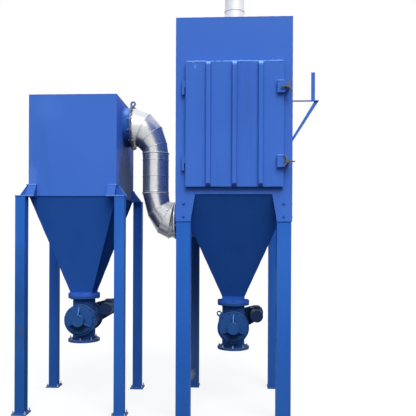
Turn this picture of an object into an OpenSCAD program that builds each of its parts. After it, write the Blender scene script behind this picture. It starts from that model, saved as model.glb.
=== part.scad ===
// Two-stage dust separator plant: a box-shaped settling separator, joined by a
// gored duct to a taller filter housing, each on four legs with a pyramid hopper
// and a rotary valve under it. Millimetres, +Z up, the doors face -Y, and the
// origin is on the floor at the middle of the whole plant.

/* [Separator vessel] */
// Width of the separator box across its front
sep_w = 800; // [760:10:900]
// Depth of the separator box, front to back
sep_d = 812; // [740:4:900]
// Height of the separator roof above the floor
sep_top = 2867; // [2827:2:3007]
// Height of the separator box's bottom edge above the floor
sep_base = 1951; // [1900:1:2000]
// Height of the joint under the separator's hopper flange
sep_valve_z = 1016; // [980:2:1040]
// Side of the separator's square tube legs
sep_leg = 88; // [80:2:92]
// Side of the separator's square foot plates
sep_foot = 134; // [130:2:150]
// Distance between the anchor holes of a separator foot
foot_bolt_span = 110; // [108:1:114]
// Height of the corner brackets that carry the separator box
ear_h = 104; // [90:2:120]
// Length of the corner brackets along the box
ear_run = 76; // [64:2:90]

/* [Filter housing] */
// Width of the filter housing across its front
filt_w = 988; // [950:2:1050]
// Depth of the filter housing, front to back
filt_d = 1250; // [1180:10:1320]
// Height of the filter roof above the floor
filt_top = 3452; // [3400:2:3600]
// Height of the housing's bottom edge above the floor
filt_base = 1951; // [1900:1:2000]
// Height of the joint under the filter's hopper flange
filt_valve_z = 963; // [940:1:1000]
// Side of the filter's square tube legs
filt_leg = 122; // [112:2:126]
// Side of the filter's foot plates
filt_foot = 136; // [130:2:150]
// Height of the corner skirt plates that clasp the leg tops
skirt_h = 231; // [200:1:260]
// Width of a skirt plate at its upper edge
skirt_top_w = 168; // [140:2:180]
// Width of a skirt plate at its lower edge
skirt_low_w = 128; // [127:1:136]
// Thickness of the skirt plates
skirt_t = 6; // [4:1:7]

/* [Plates and legs] */
// Thickness of the box, hopper and roof plates
plate_t = 6; // [4:1:8]
// Wall thickness of the leg tubes
leg_wall = 5; // [4:1:8]
// Thickness of the foot plates
foot_t = 12; // [8:1:16]
// Thickness of the bracket and gusset plates
ear_t = 8; // [6:1:10]
// Diameter of the anchor holes in the foot plates
foot_hole_d = 14; // [12:1:15]
// Clear space between the two boxes
unit_gap = 555; // [540:1:640]

/* [Hoppers] */
// Side of the square neck under each hopper
neck_w = 205; // [198:1:208]
// Height of the separator hopper's neck
sep_neck_h = 16; // [10:1:30]
// Height of the filter hopper's neck
filt_neck_h = 44; // [30:1:60]
// Height of the hopper's lip inside the box walls
lip_h = 30; // [20:2:40]
// Thickness of the round hopper flanges
hopper_flange_t = 22; // [16:1:26]

/* [Rotary valves] */
// Height of a valve between its two joint faces
valve_h = 440; // [430:2:480]
// Outside diameter of the valve flanges
valve_flange_d = 302; // [300:2:310]
// Thickness of the valve flanges
valve_flange_t = 22; // [16:1:26]
// Bolt circle of the valve flanges
valve_pcd = 266; // [264:1:270]
// Number of bolts in a valve flange
valve_bolts = 8; // [8:4:8]
// Diameter of the valve flange bolt holes
valve_hole_d = 14; // [12:1:16]
// Diameter of the round passage through a valve
valve_throat_d = 186; // [180:2:190]
// Outside diameter of the valve's neck tubes
valve_neck_d = 214; // [206:2:218]
// Bore of the horizontal rotor casing
casing_bore_d = 230; // [224:2:232]
// Outside diameter of the rotor casing
casing_d = 258; // [248:2:264]
// Length of the rotor casing between its covers
casing_l = 300; // [290:2:320]
// Diameter of the casing's end rings
ring_d = 296; // [290:2:300]
// Thickness of the casing's end rings
ring_t = 14; // [10:1:16]
// Diameter of the raised drum on an end cover
cover_drum_d = 256; // [244:2:264]
// Height of the raised drum on an end cover
cover_drum_t = 16; // [10:1:20]
// Thickness of an end cover's rim
cover_t = 10; // [8:1:14]
// Diameter of the bearing boss on a cover
boss_d = 108; // [96:2:116]
// Height of the front bearing boss above its drum
boss_h = 58; // [50:2:66]
// Height of the rear bearing boss above its drum
rear_boss_h = 28; // [20:2:36]
// Width of the three stiffening ribs on a cover
rib_w = 10; // [8:1:14]
// Diameter of the rotor shaft
shaft_d = 36; // [30:1:42]
// Diameter of the rotor's hub
hub_d = 72; // [60:2:90]
// Number of vanes on a rotor
vane_count = 8; // [6:1:10]
// Thickness of a rotor vane
vane_t = 6; // [4:1:8]
// Gap between the vane tips and the casing
vane_gap = 2; // [1:0.5:4]

/* [Valve drives] */
// Sideways distance from valve shaft to motor shaft
motor_dx = 224; // [216:2:240]
// Height of the motor shaft above the valve shaft
motor_dz = 92; // [80:2:100]
// Diameter of the motor
motor_d = 116; // [104:2:120]
// Length of the motor, without its gear case
motor_l = 190; // [170:2:210]
// Side of the square gear case
gear_w = 112; // [100:2:116]
// Length of the gear case
gear_l = 70; // [50:2:80]
// Depth of the chain guard
guard_t = 50; // [40:2:60]
// Radius of the chain guard round the valve shaft
guard_big_r = 106; // [96:2:112]
// Radius of the chain guard round the motor shaft
guard_small_r = 72; // [66:2:76]

/* [Duct] */
// Outside diameter of the separator's round inlet and outlet spigots
spigot_d = 376; // [360:2:390]
// Height of the spigots' centres above the floor
spigot_z = 2640; // [2620:2:2650]
// Length of the separator's outlet spigot, flange included
outlet_reach = 76; // [66:1:90]
// Length of the separator's inlet spigot, flange included
inlet_reach = 60; // [50:1:80]
// Wall of the painted spigots
spigot_wall = 4; // [3:1:6]
// Width of the flange rims beyond their tubes
rim_w = 26; // [24:1:30]
// Thickness of each duct flange
rim_t = 8; // [6:1:10]
// Number of bolts in a duct flange
rim_bolts = 12; // [8:4:16]
// Diameter of the duct flange bolt holes
rim_hole_d = 12; // [10:1:14]
// Wall of the galvanised sheet duct
duct_wall = 2; // [1:0.5:3]
// Outside diameter of the upright duct
riser_d = 250; // [240:2:260]
// Distance of the upright duct's axis from the separator box
riser_offset = 295; // [288:1:302]
// Height where the upper elbow meets the upright duct
riser_top = 2362; // [2340:2:2380]
// Height where the upright duct meets the lower elbow
riser_low = 2004; // [1990:2:2020]
// Outside diameter of the filter's inlet spigot
entry_d = 300; // [290:2:310]
// Distance of the filter's inlet spigot centre below the housing's bottom edge
entry_drop = 211; // [203:1:221]
// Distance of the entry joint outside the filter box
entry_reach = 62; // [56:1:70]
// How far the lower elbow swells beyond its spigot
elbow_swell = 25; // [15:1:30]
// Depth of the swaged beads on the duct
bead_h = 5; // [3:1:7]

/* [Roof outlet] */
// Outside diameter of the roof outlet stub
stack_d = 185; // [170:1:200]
// Height of the roof outlet stub above the roof
stack_h = 452; // [430:2:500]
// Height of the stub's seam above the roof
stack_seam_h = 286; // [260:2:310]
// Width of the stub's flange rims
stack_rim_w = 32; // [28:1:36]
// Thickness of the stub's flanges
stack_rim_t = 6; // [5:1:8]
// Number of bolts in the stub's end flange
stack_bolts = 8; // [6:2:12]

/* [Door] */
// Distance of the door's hinge edge from the housing's side
door_hinge_margin = 86; // [84:1:98]
// Distance of the door's closing edge from the housing's side
door_latch_margin = 76; // [75:1:86]
// Height of the door's lower edge above the housing's bottom edge
door_rise = 59; // [49:2:79]
// Height of the door
door_h = 1060; // [1040:2:1080]
// Depth of the door pan
door_t = 30; // [26:1:36]
// Thickness of the door's sheet
door_sheet = 4; // [3:1:5]
// Width of the door's return lip
door_lip = 34; // [28:1:36]
// How far the door laps the edge of its opening
door_lap = 40; // [36:1:46]
// Thickness of the door seal
seal_t = 8; // [6:1:10]
// Width of the door seal
seal_w = 22; // [16:1:26]
// Distance between the door's stiffening ribs
rib_pitch = 220; // [200:2:230]
// Width of a door rib
door_rib_w = 45; // [40:1:52]
// How far a door rib stands proud
door_rib_h = 28; // [24:1:34]
// How far each side of a rib leans in
rib_side_run = 4; // [2:1:6]

/* [Hinges and clamps] */
// Distance of the hinge axis from the housing's side
hinge_margin = 65; // [62:1:68]
// Height of the lower hinge's middle above the door's lower edge
hinge_low_rise = 200; // [170:2:230]
// Height of the upper hinge's middle above the door's lower edge
hinge_high_rise = 840; // [820:2:880]
// Length of one hinge knuckle
knuckle_h = 62; // [54:2:70]
// Diameter of a hinge knuckle
knuckle_d = 24; // [22:1:26]
// Diameter of the hinge pins
pin_d = 12; // [10:1:14]
// Height of the lower clamp above the door's lower edge
clamp_low_rise = 211; // [190:1:241]
// Height of the upper clamp above the door's lower edge
clamp_high_rise = 834; // [814:1:864]
// Distance of the clamp screws from the housing's side
clamp_margin = 48; // [46:1:49]
// Height of a clamp lug
lug_h = 100; // [80:2:110]
// Length of a clamp lug from the screw onto the door
lug_run = 84; // [76:2:100]
// Thickness of a clamp lug
lug_t = 30; // [24:1:34]
// Diameter of a clamp screw
screw_d = 14; // [12:1:16]
// Depth of the screw anchor on the housing
anchor_l = 24; // [20:1:28]
// Outside diameter of the screw anchor
anchor_d = 44; // [42:1:50]
// Gap between a clamp screw and its anchor
anchor_gap = 6; // [5:0.5:7]
// Length of a star knob's arms from its axis
knob_r = 63; // [56:1:70]
// Diameter of a star knob's hub
knob_hub_d = 34; // [30:1:40]
// Height of a star knob's hub
knob_hub_h = 30; // [26:1:36]
// Diameter of a star knob's arms at the hub
knob_arm_d = 22; // [18:1:24]
// Diameter of the round tips of the arms
knob_tip_d = 12; // [10:1:14]

/* [Side bracket] */
// How far the side bracket reaches from the housing
bracket_reach = 226; // [200:2:250]
// Height of the bracket's arm above the housing's bottom edge
bracket_rise = 801; // [771:2:831]
// Height of the bracket's strut foot above the housing's bottom edge
bracket_foot_rise = 469; // [449:2:509]
// Width of the bracket's flat bars
bracket_bar = 32; // [26:1:38]
// Height of the upright bar above the arm
bracket_post_h = 240; // [200:2:260]
// Distance of the bracket behind the housing's front
bracket_y = 60; // [40:2:90]

/* [Hidden] */

$fn = 64;

// Painted steel, galvanised sheet, bare metal and rubber, as the plant shows them
blue = "#3f6fc4";
dark_blue = "#2c5296";
zinc = "#c4c8cb";
bare_metal = "#8d9090";
rubber = "#26282a";

// Small clearances
seat = 0.3;
running = 0.05;

// How deep a duct's sheet sits in its flange, and how far the flange laps over the sheet's edge inside
weld_sink = 2;
flange_lap = 2;

// Overall reaches, which put the origin under the middle of the plant
sep_leg_out = sep_leg / 2;
left_reach = sep_w / 2 + max(sep_leg_out + sep_foot / 2, inlet_reach);
right_reach = filt_w / 2 + bracket_reach;
plant_w = left_reach + sep_w / 2 + unit_gap + filt_w / 2 + right_reach;
sep_x = -plant_w / 2 + left_reach;
filt_x = plant_w / 2 - right_reach;
door_front = filt_d / 2 + seal_t + door_t;
knob_back = door_front + lug_t + seat;
front_reach = knob_back + knob_hub_h;
filt_leg_in = skirt_t + filt_leg / 2;
back_reach = max(filt_d / 2, filt_d / 2 - filt_leg_in + filt_foot / 2);
mid_y = (front_reach - back_reach) / 2;

// Heights of the pieces that go with the housing's bottom edge
entry_z = filt_base - entry_drop;
door_z = filt_base + door_rise;
hinge_low_z = door_z + hinge_low_rise;
hinge_high_z = door_z + hinge_high_rise;
clamp_low_z = door_z + clamp_low_rise;
clamp_high_z = door_z + clamp_high_rise;
bracket_z = filt_base + bracket_rise;
bracket_foot_z = filt_base + bracket_foot_rise;

// Door edges across the housing
door_x0 = -filt_w / 2 + door_hinge_margin;
door_x1 = filt_w / 2 - door_latch_margin;
door_mid_x = (door_x0 + door_x1) / 2;
hinge_x = -filt_w / 2 + hinge_margin;
hinge_y = -filt_d / 2 - seal_t - door_t / 2;
screw_x = filt_w / 2 - clamp_margin;

// Valve levels below the joint under a hopper
axis_drop = valve_h / 2;
cover_face = casing_l / 2 + cover_t + cover_drum_t;

// Shared shapes

// A block between two opposite corners
module block(low, high) {
    translate(low) cube(high - low);
}

// A tube standing on the XY plane
module tube(d, bore, h) {
    difference() {
        cylinder(d = d, h = h);
        translate([0, 0, -1]) cylinder(d = bore, h = h + 2);
    }
}

// A ring of holes round the Z axis, cut right through a plate of thickness t: the first is turned
// from the X axis by a share of their pitch
module bolt_ring(pcd, count, hole_d, t, turn = 0.5) {
    for (i = [0 : count - 1])
        rotate([0, 0, (i + turn) * 360 / count])
            translate([pcd / 2, 0, -1]) cylinder(d = hole_d, h = t + 2, $fn = 24);
}

// A flat flange ring standing on the XY plane
module flange(d, bore, t, pcd, count, hole_d, turn = 0.5) {
    difference() {
        tube(d, bore, t);
        bolt_ring(pcd, count, hole_d, t, turn);
    }
}

// A pyramid with its square or oblong ends at z_low and z_high
module pyramid(w_low, d_low, z_low, w_high, d_high, z_high) {
    polyhedron(
        points = [
            for (level = [[w_low, d_low, z_low], [w_high, d_high, z_high]])
                for (corner = [[-1, -1], [1, -1], [1, 1], [-1, 1]])
                    [corner[0] * level[0] / 2, corner[1] * level[1] / 2, level[2]]
        ],
        faces = [[0, 1, 2, 3], [4, 7, 6, 5], [0, 4, 5, 1], [1, 5, 6, 2], [2, 6, 7, 3], [3, 7, 4, 0]]
    );
}

// One copy for each corner of a unit, mirrored to it
module at_corner(side_x, side_y) {
    mirror([side_x > 0 ? 1 : 0, 0, 0]) mirror([0, side_y > 0 ? 1 : 0, 0]) children();
}

module at_separator() {
    translate([sep_x, mid_y, 0]) children();
}

module at_filter() {
    translate([filt_x, mid_y, 0]) children();
}

// Hoppers

// Outer surface of a hopper: shared with the pieces that are cut to it
module hopper_body(w, d, base_z, valve_z, neck_h, grow = 0) {
    pyramid(
        neck_w + 2 * grow, neck_w + 2 * grow, valve_z + hopper_flange_t + neck_h,
        w - 2 * plate_t + 2 * grow, d - 2 * plate_t + 2 * grow, base_z
    );
}

// A pyramid hopper with a lip inside the box and a square neck on a round flange
module hopper(w, d, base_z, valve_z, neck_h) {
    neck_top = valve_z + hopper_flange_t + neck_h;
    lip_w = w - 2 * plate_t;
    lip_d = d - 2 * plate_t;
    difference() {
        union() {
            hopper_body(w, d, base_z, valve_z, neck_h);
            block([-lip_w / 2, -lip_d / 2, base_z], [lip_w / 2, lip_d / 2, base_z + lip_h]);
            block([-neck_w / 2, -neck_w / 2, valve_z + hopper_flange_t], [neck_w / 2, neck_w / 2, neck_top]);
        }
        pyramid(
            neck_w - 2 * plate_t, neck_w - 2 * plate_t, neck_top,
            lip_w - 2 * plate_t, lip_d - 2 * plate_t, base_z
        );
        block(
            [-lip_w / 2 + plate_t, -lip_d / 2 + plate_t, base_z],
            [lip_w / 2 - plate_t, lip_d / 2 - plate_t, base_z + lip_h + 1]
        );
        block(
            [-neck_w / 2 + plate_t, -neck_w / 2 + plate_t, valve_z],
            [neck_w / 2 - plate_t, neck_w / 2 - plate_t, neck_top]
        );
    }
    translate([0, 0, valve_z])
        flange(valve_flange_d, valve_throat_d, hopper_flange_t, valve_pcd, valve_bolts, valve_hole_d, 0);
}

// Rotary valves, drawn with the joint under the hopper at z = 0

// A casing with lifting eyes on the sides named: -1 is left and 1 is right
module valve_casing(eyes) {
    color(dark_blue) difference() {
        union() {
            for (z = [-valve_flange_t, -valve_h])
                translate([0, 0, z]) cylinder(d = valve_flange_d, h = valve_flange_t);
            translate([0, 0, -valve_h]) cylinder(d = valve_neck_d, h = valve_h);
            translate([0, casing_l / 2, -axis_drop]) rotate([90, 0, 0]) cylinder(d = casing_d, h = casing_l);
            for (y = [-casing_l / 2 + ring_t, casing_l / 2])
                translate([0, y, -axis_drop]) rotate([90, 0, 0]) cylinder(d = ring_d, h = ring_t);
            for (side = eyes) casing_eye(side);
        }
        translate([0, 0, -valve_h - 1]) cylinder(d = valve_throat_d, h = valve_h + 2);
        translate([0, casing_l / 2 + 1, -axis_drop]) rotate([90, 0, 0])
            cylinder(d = casing_bore_d, h = casing_l + 2);
        for (z = [-valve_flange_t, -valve_h])
            translate([0, 0, z]) bolt_ring(valve_pcd, valve_bolts, valve_hole_d, valve_flange_t, 0);
        for (side = eyes) casing_eye_hole(side);
    }
}

eye_r = 24;
eye_reach = ring_d / 2 + 38;

// Lifting eye on a shoulder of the front end ring
module casing_eye(side) {
    translate([0, -casing_l / 2 + ring_t, -axis_drop]) rotate([90, 0, 0]) rotate([0, 0, 90 - side * 45]) {
        translate([eye_reach, 0, 0]) cylinder(r = eye_r, h = ring_t);
        translate([ring_d / 2 - 30, -eye_r, 0]) cube([eye_reach - ring_d / 2 + 30, 2 * eye_r, ring_t]);
    }
}

module casing_eye_hole(side) {
    translate([0, -casing_l / 2 + ring_t + 1, -axis_drop]) rotate([90, 0, 0])
        rotate([0, 0, 90 - side * 45])
            translate([eye_reach, 0, 0]) cylinder(r = eye_r / 2, h = ring_t + 2);
}

// An end cover seen from outside: rim, raised drum, bearing boss and three ribs
module valve_cover(tall, bore_depth) {
    difference() {
        union() {
            cylinder(d = ring_d, h = cover_t);
            cylinder(d = cover_drum_d, h = cover_t + cover_drum_t);
            cylinder(d = boss_d, h = cover_t + cover_drum_t + tall);
            for (a = [90, 210, 330]) rotate([0, 0, a]) cover_rib(tall);
        }
        translate([0, 0, -1]) cylinder(d = shaft_d + 2 * running, h = bore_depth + 1);
    }
}

module cover_rib(tall) {
    drum_r = cover_drum_d / 2 - 8;
    translate([0, rib_w / 2, cover_t + cover_drum_t]) rotate([90, 0, 0]) linear_extrude(rib_w)
        polygon([[boss_d / 2 - 4, -1], [drum_r, -1], [drum_r, 3], [boss_d / 2 - 4, tall * 0.8]]);
}

module valve_covers() {
    color(dark_blue) {
        translate([0, -casing_l / 2, -axis_drop]) rotate([90, 0, 0])
            valve_cover(boss_h, cover_t + cover_drum_t + boss_h - 12);
        translate([0, casing_l / 2, -axis_drop]) rotate([90, 0, 180])
            valve_cover(rear_boss_h, cover_t + cover_drum_t + rear_boss_h + 1);
    }
}

module valve_rotor() {
    front_end = cover_face + boss_h - 12 - seat;
    back_end = cover_face + rear_boss_h - seat;
    vane_l = casing_l - 2 * vane_gap;
    hub_l = casing_l - vane_gap;
    color(bare_metal) translate([0, 0, -axis_drop]) rotate([90, 0, 0]) {
        translate([0, 0, -back_end]) cylinder(d = shaft_d, h = back_end + front_end);
        translate([0, 0, -hub_l / 2]) cylinder(d = hub_d, h = hub_l);
        for (i = [0 : vane_count - 1]) rotate([0, 0, (i + 0.5) * 360 / vane_count])
            translate([0, -vane_t / 2, -vane_l / 2])
                cube([casing_bore_d / 2 - vane_gap, vane_t, vane_l]);
    }
}

// Chain guard, gear case and motor hung beside the casing
module valve_drive() {
    guard_y = cover_face + rear_boss_h;
    motor = [motor_dx, 0, motor_dz - axis_drop];
    color(dark_blue) {
        hull() {
            translate([0, guard_y + guard_t, -axis_drop]) rotate([90, 0, 0])
                cylinder(r = guard_big_r, h = guard_t, $fn = 32);
            translate(motor + [0, guard_y + guard_t, 0]) rotate([90, 0, 0])
                cylinder(r = guard_small_r, h = guard_t, $fn = 32);
        }
        translate(motor + [-gear_w / 2, guard_y - gear_l, -gear_w / 2]) cube([gear_w, gear_l + 1, gear_w]);
    }
    color(bare_metal) {
        translate(motor + [0, guard_y - gear_l + 1, 0]) rotate([90, 0, 0]) cylinder(d = motor_d, h = motor_l);
        motor_fins(motor + [0, guard_y - gear_l, 0]);
        terminal_box(motor + [0, guard_y - gear_l, 0]);
    }
}

fin_h = 5;
fin_count = 16;

module motor_fins(at) {
    fin_l = motor_l * 0.66;
    translate(at + [0, -12, 0]) rotate([90, 0, 0])
        for (i = [0 : fin_count - 1]) rotate([0, 0, (i + 0.5) * 360 / fin_count])
            translate([motor_d / 2 - 2, -1.5, 0]) cube([fin_h + 2, 3, fin_l]);
}

module terminal_box(at) {
    box_w = 56;
    box_l = 66;
    box_h = 34;
    translate(at + [-box_w / 2, -24 - box_l, motor_d / 2 - 6]) cube([box_w, box_l, box_h]);
}

// Separator pieces

module separator_front_wall() {
    color(blue) at_separator()
        block([-sep_w / 2, -sep_d / 2, sep_base], [sep_w / 2, -sep_d / 2 + plate_t, sep_top - plate_t]);
}

module separator_back_wall() {
    color(blue) at_separator()
        block([-sep_w / 2, sep_d / 2 - plate_t, sep_base], [sep_w / 2, sep_d / 2, sep_top - plate_t]);
}

// A side wall with the round hole behind its spigot
module separator_side_wall(side) {
    x = side > 0 ? sep_w / 2 - plate_t : -sep_w / 2;
    color(blue) at_separator() difference() {
        block(
            [x, -sep_d / 2 + plate_t, sep_base],
            [x + plate_t, sep_d / 2 - plate_t, sep_top - plate_t]
        );
        translate([x - 1, 0, spigot_z]) rotate([0, 90, 0])
            cylinder(d = spigot_d - 2 * spigot_wall, h = plate_t + 2);
    }
}

module separator_roof() {
    color(blue) at_separator()
        block([-sep_w / 2, -sep_d / 2, sep_top - plate_t], [sep_w / 2, sep_d / 2, sep_top]);
}

module separator_hopper() {
    color(blue) at_separator() hopper(sep_w, sep_d, sep_base, sep_valve_z, sep_neck_h);
}

// A painted spigot along +X from the XY plane at the wall to its bolted flange
module spigot(d, reach) {
    rotate([0, 90, 0]) {
        tube(d, d - 2 * spigot_wall, reach);
        translate([0, 0, reach - rim_t])
            flange(d + 2 * rim_w, d - 2 * spigot_wall, rim_t, d + rim_w, rim_bolts, rim_hole_d);
    }
}

lug_eye_r = 27;
eye_drop = 12;

// Lifting eye welded upright on top of the outlet flange, with its hole along Y
module flange_eye(x, d) {
    centre_z = d / 2 + rim_w + lug_eye_r - eye_drop;
    difference() {
        translate([x - rim_t / 2, rim_t / 2, 0]) rotate([90, 0, 0]) linear_extrude(rim_t) difference() {
            union() {
                translate([0, centre_z]) circle(r = lug_eye_r);
                translate([-lug_eye_r, d / 2 - spigot_wall]) square([2 * lug_eye_r - rim_t, centre_z - d / 2]);
            }
            translate([0, centre_z]) circle(r = lug_eye_r * 0.4);
        }
        rotate([0, 90, 0]) cylinder(d = d - spigot_wall, h = x + 1);
        block([x, -rim_t, 0], [x + 2 * lug_eye_r, rim_t, d / 2 + rim_w + seat]);
    }
}

module separator_inlet_spigot() {
    color(blue) at_separator() translate([-sep_w / 2, 0, spigot_z]) mirror([1, 0, 0])
        spigot(spigot_d, inlet_reach);
}

module separator_outlet_spigot() {
    color(blue) at_separator() translate([sep_w / 2, 0, spigot_z]) {
        spigot(spigot_d, outlet_reach);
        flange_eye(outlet_reach, spigot_d);
    }
}

// A leg in the front left corner: square tube on a drilled foot plate
module separator_leg() {
    cx = -sep_w / 2 - sep_leg_out;
    cy = -sep_d / 2 - sep_leg_out;
    top = sep_base - ear_t;
    translate([cx, cy, 0]) {
        difference() {
            block([-sep_leg / 2, -sep_leg / 2, 0], [sep_leg / 2, sep_leg / 2, top]);
            block(
                [-sep_leg / 2 + leg_wall, -sep_leg / 2 + leg_wall, foot_t],
                [sep_leg / 2 - leg_wall, sep_leg / 2 - leg_wall, top + 1]
            );
        }
        difference() {
            block([-sep_foot / 2, -sep_foot / 2, 0], [sep_foot / 2, sep_foot / 2, foot_t]);
            for (sx = [-1, 1], sy = [-1, 1])
                translate([sx * foot_bolt_span / 2, sy * foot_bolt_span / 2, -1])
                    cylinder(d = foot_hole_d, h = foot_t + 2, $fn = 24);
        }
    }
}

// Bracket in the front left corner: base plate under the box, top plate and gussets
module corner_bracket() {
    corner = [-sep_w / 2, -sep_d / 2];
    out = sep_leg;
    translate([corner[0], corner[1], sep_base - ear_t])
        block([-out, -out, 0], [ear_run, ear_run, ear_t]);
    translate([corner[0], corner[1], sep_base]) {
        block([-ear_t, -ear_t, 0], [0, 0, ear_h - ear_t]);
        block([-ear_t * 2, -ear_t * 2, ear_h - ear_t], [0, 0, ear_h]);
    }
    for (turn = [0, 1]) translate([corner[0], corner[1], sep_base])
        mirror(turn == 0 ? [0, 0, 0] : [1, -1, 0]) {
            for (x = [0, ear_run - ear_t]) translate([x, 0, 0]) corner_gusset(out, 0, ear_t);
            translate([ear_t / 2, 0, 0]) corner_gusset(out, ear_t, ear_run - ear_t);
            translate([0, -ear_t * 2, ear_h - ear_t]) cube([ear_run, ear_t * 2, ear_t]);
        }
}

// A gusset that stands out along -Y from the box face, or with a sheet thickness only its sloping face
module corner_gusset(out, sheet, run) {
    rotate([90, 0, 90]) linear_extrude(run) difference() {
        polygon([[0, 0], [-out, 0], [-ear_t * 2, ear_h - ear_t], [0, ear_h - ear_t]]);
        if (sheet > 0)
            polygon([[1, -1], [-out + sheet * 1.4, -1], [-ear_t * 2 + sheet * 1.4, ear_h], [1, ear_h]]);
    }
}

module separator_corner_brackets() {
    color(blue) at_separator() difference() {
        for (sx = [-1, 1], sy = [-1, 1]) at_corner(sx, sy) corner_bracket();
        hopper_body(sep_w, sep_d, sep_base, sep_valve_z, sep_neck_h, seat);
    }
}

module separator_leg_at(side_x, side_y) {
    color(blue) at_separator() at_corner(side_x, side_y) separator_leg();
}

// Duct pieces, in the plane y = mid_y

// One ring of points round a duct, in the plane that turn degrees tilts from upright
function duct_ring(centre, turn, r) = [
    for (i = [0 : duct_sides - 1])
        let (a = 360 * i / duct_sides, out = r * cos(a), across = r * sin(a))
            [centre[0] + out * sin(turn), across, centre[1] + out * cos(turn)]
];

duct_sides = 36;

// A skin through matching rings, closed at both ends
module loft(rings) {
    n = len(rings[0]);
    m = len(rings);
    polyhedron(
        points = [for (ring = rings) each ring],
        faces = concat(
            [[for (i = [n - 1 : -1 : 0]) i]],
            [for (k = [0 : m - 2], i = [0 : n - 1]) each
                let (a = k * n + i, b = k * n + (i + 1) % n)
                    [[a, b, b + n], [a, b + n, a + n]]],
            [[for (i = [0 : n - 1]) (m - 1) * n + i]]
        ),
        convexity = 4
    );
}

// The gore rings of an elbow: each step of its path is a centre, a tilt and a radius
function elbow_rings(path, inset) = [for (step = path) duct_ring(step[0], step[1], step[2] - inset)];

// Sheet metal elbow through gored rings: the bore runs 1 mm past each end
module elbow(path) {
    first = path[0];
    last = path[len(path) - 1];
    difference() {
        loft(elbow_rings(path, 0));
        loft(concat(
            [duct_ring(first[0] - heading(first[1]), first[1], first[2] - duct_wall)],
            elbow_rings(path, duct_wall),
            [duct_ring(last[0] + heading(last[1]), last[1], last[2] - duct_wall)]
        ));
    }
}

// Unit step along the duct where its rings tilt by turn degrees
function heading(turn) = [cos(turn), -sin(turn)];

joint_x = sep_x + sep_w / 2 + outlet_reach;
riser_x = sep_x + sep_w / 2 + riser_offset;
entry_x = filt_x - filt_w / 2 - entry_reach;
elbow_start_x = joint_x + rim_t - weld_sink;
elbow_end_x = entry_x - rim_t + weld_sink;

// Angles of the gore seams, from each elbow's flange to the riser
upper_seams = [0, 25.5, 49, 72, 90];
lower_seams = [0, 10, 28, 56, 90];

// Radii at the seams: the upper elbow narrows down to the riser, the lower one swells first
riser_r = riser_d / 2;
upper_extra = spigot_d / 2 - riser_r;
upper_radii = [for (share = [1, 0.7, 0.36, 0, 0]) riser_r + share * upper_extra];
lower_extra = entry_d / 2 + elbow_swell - riser_r;
lower_radii = [entry_d / 2, for (share = [1, 0.8, 0, 0]) riser_r + share * lower_extra];

// Centre, tilt and radius at each seam, from the separator flange down to the riser
upper_path = [
    for (k = [0 : len(upper_seams) - 1]) let (a = upper_seams[k])
        [
            [elbow_start_x + (riser_x - elbow_start_x) * sin(a), spigot_z - (spigot_z - riser_top) * (1 - cos(a))],
            a, upper_radii[k]
        ]
];

// Centre, tilt and radius at each seam, from the filter's spigot back up to the riser
lower_path = [
    for (k = [0 : len(lower_seams) - 1]) let (a = lower_seams[k])
        [
            [elbow_end_x - (elbow_end_x - riser_x) * sin(a), entry_z + (riser_low - entry_z) * (1 - cos(a))],
            180 + a, lower_radii[k]
        ]
];

// The loose flange at an elbow's wide end
module duct_flange(d) {
    flange(d + 2 * rim_w, d - 2 * duct_wall - 2 * flange_lap, rim_t, d + rim_w, rim_bolts, rim_hole_d);
}

module duct_upper_elbow() {
    color(zinc) translate([0, mid_y, 0]) {
        elbow(upper_path);
        translate([joint_x, 0, spigot_z]) rotate([0, 90, 0])
            duct_flange(spigot_d);
    }
}

module duct_riser() {
    color(zinc) translate([riser_x, mid_y, 0]) rotate_extrude() {
        translate([riser_d / 2 - duct_wall, riser_low]) square([duct_wall, riser_top - riser_low]);
        for (z = riser_beads) translate([riser_d / 2 - 1, z])
            polygon([[0, -bead_h], [bead_h, -bead_h / 2], [bead_h, bead_h / 2], [0, bead_h]]);
    }
}

riser_beads = [for (k = [0.02, 0.455, 0.91]) riser_low + 8 + k * (riser_top - riser_low - 16)];

module duct_lower_elbow() {
    color(zinc) translate([0, mid_y, 0]) {
        elbow(lower_path);
        translate([entry_x - rim_t, 0, entry_z]) rotate([0, 90, 0])
            duct_flange(entry_d);
    }
}

// Filter housing pieces

wall_top = filt_top - plate_t;
front_y = -filt_d / 2;
open_x0 = door_x0 + door_lap;
open_x1 = door_x1 - door_lap;
open_z0 = door_z + door_lap;
open_z1 = door_z + door_h - door_lap;

module front_piece(x0, x1, z0, z1) {
    color(blue) at_filter() block([x0, front_y, z0], [x1, front_y + plate_t, z1]);
}

module filter_side_wall(side) {
    x = side > 0 ? filt_w / 2 - plate_t : -filt_w / 2;
    color(blue) at_filter()
        block([x, front_y + plate_t, filt_base], [x + plate_t, filt_d / 2 - plate_t, wall_top]);
}

module filter_back_wall() {
    color(blue) at_filter()
        block([-filt_w / 2, filt_d / 2 - plate_t, filt_base], [filt_w / 2, filt_d / 2, wall_top]);
}

module filter_roof() {
    color(blue) at_filter() difference() {
        block([-filt_w / 2, -filt_d / 2, wall_top], [filt_w / 2, filt_d / 2, filt_top]);
        translate([0, 0, wall_top - 1]) cylinder(d = stack_d - 2 * duct_wall, h = plate_t + 2);
    }
}

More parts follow.
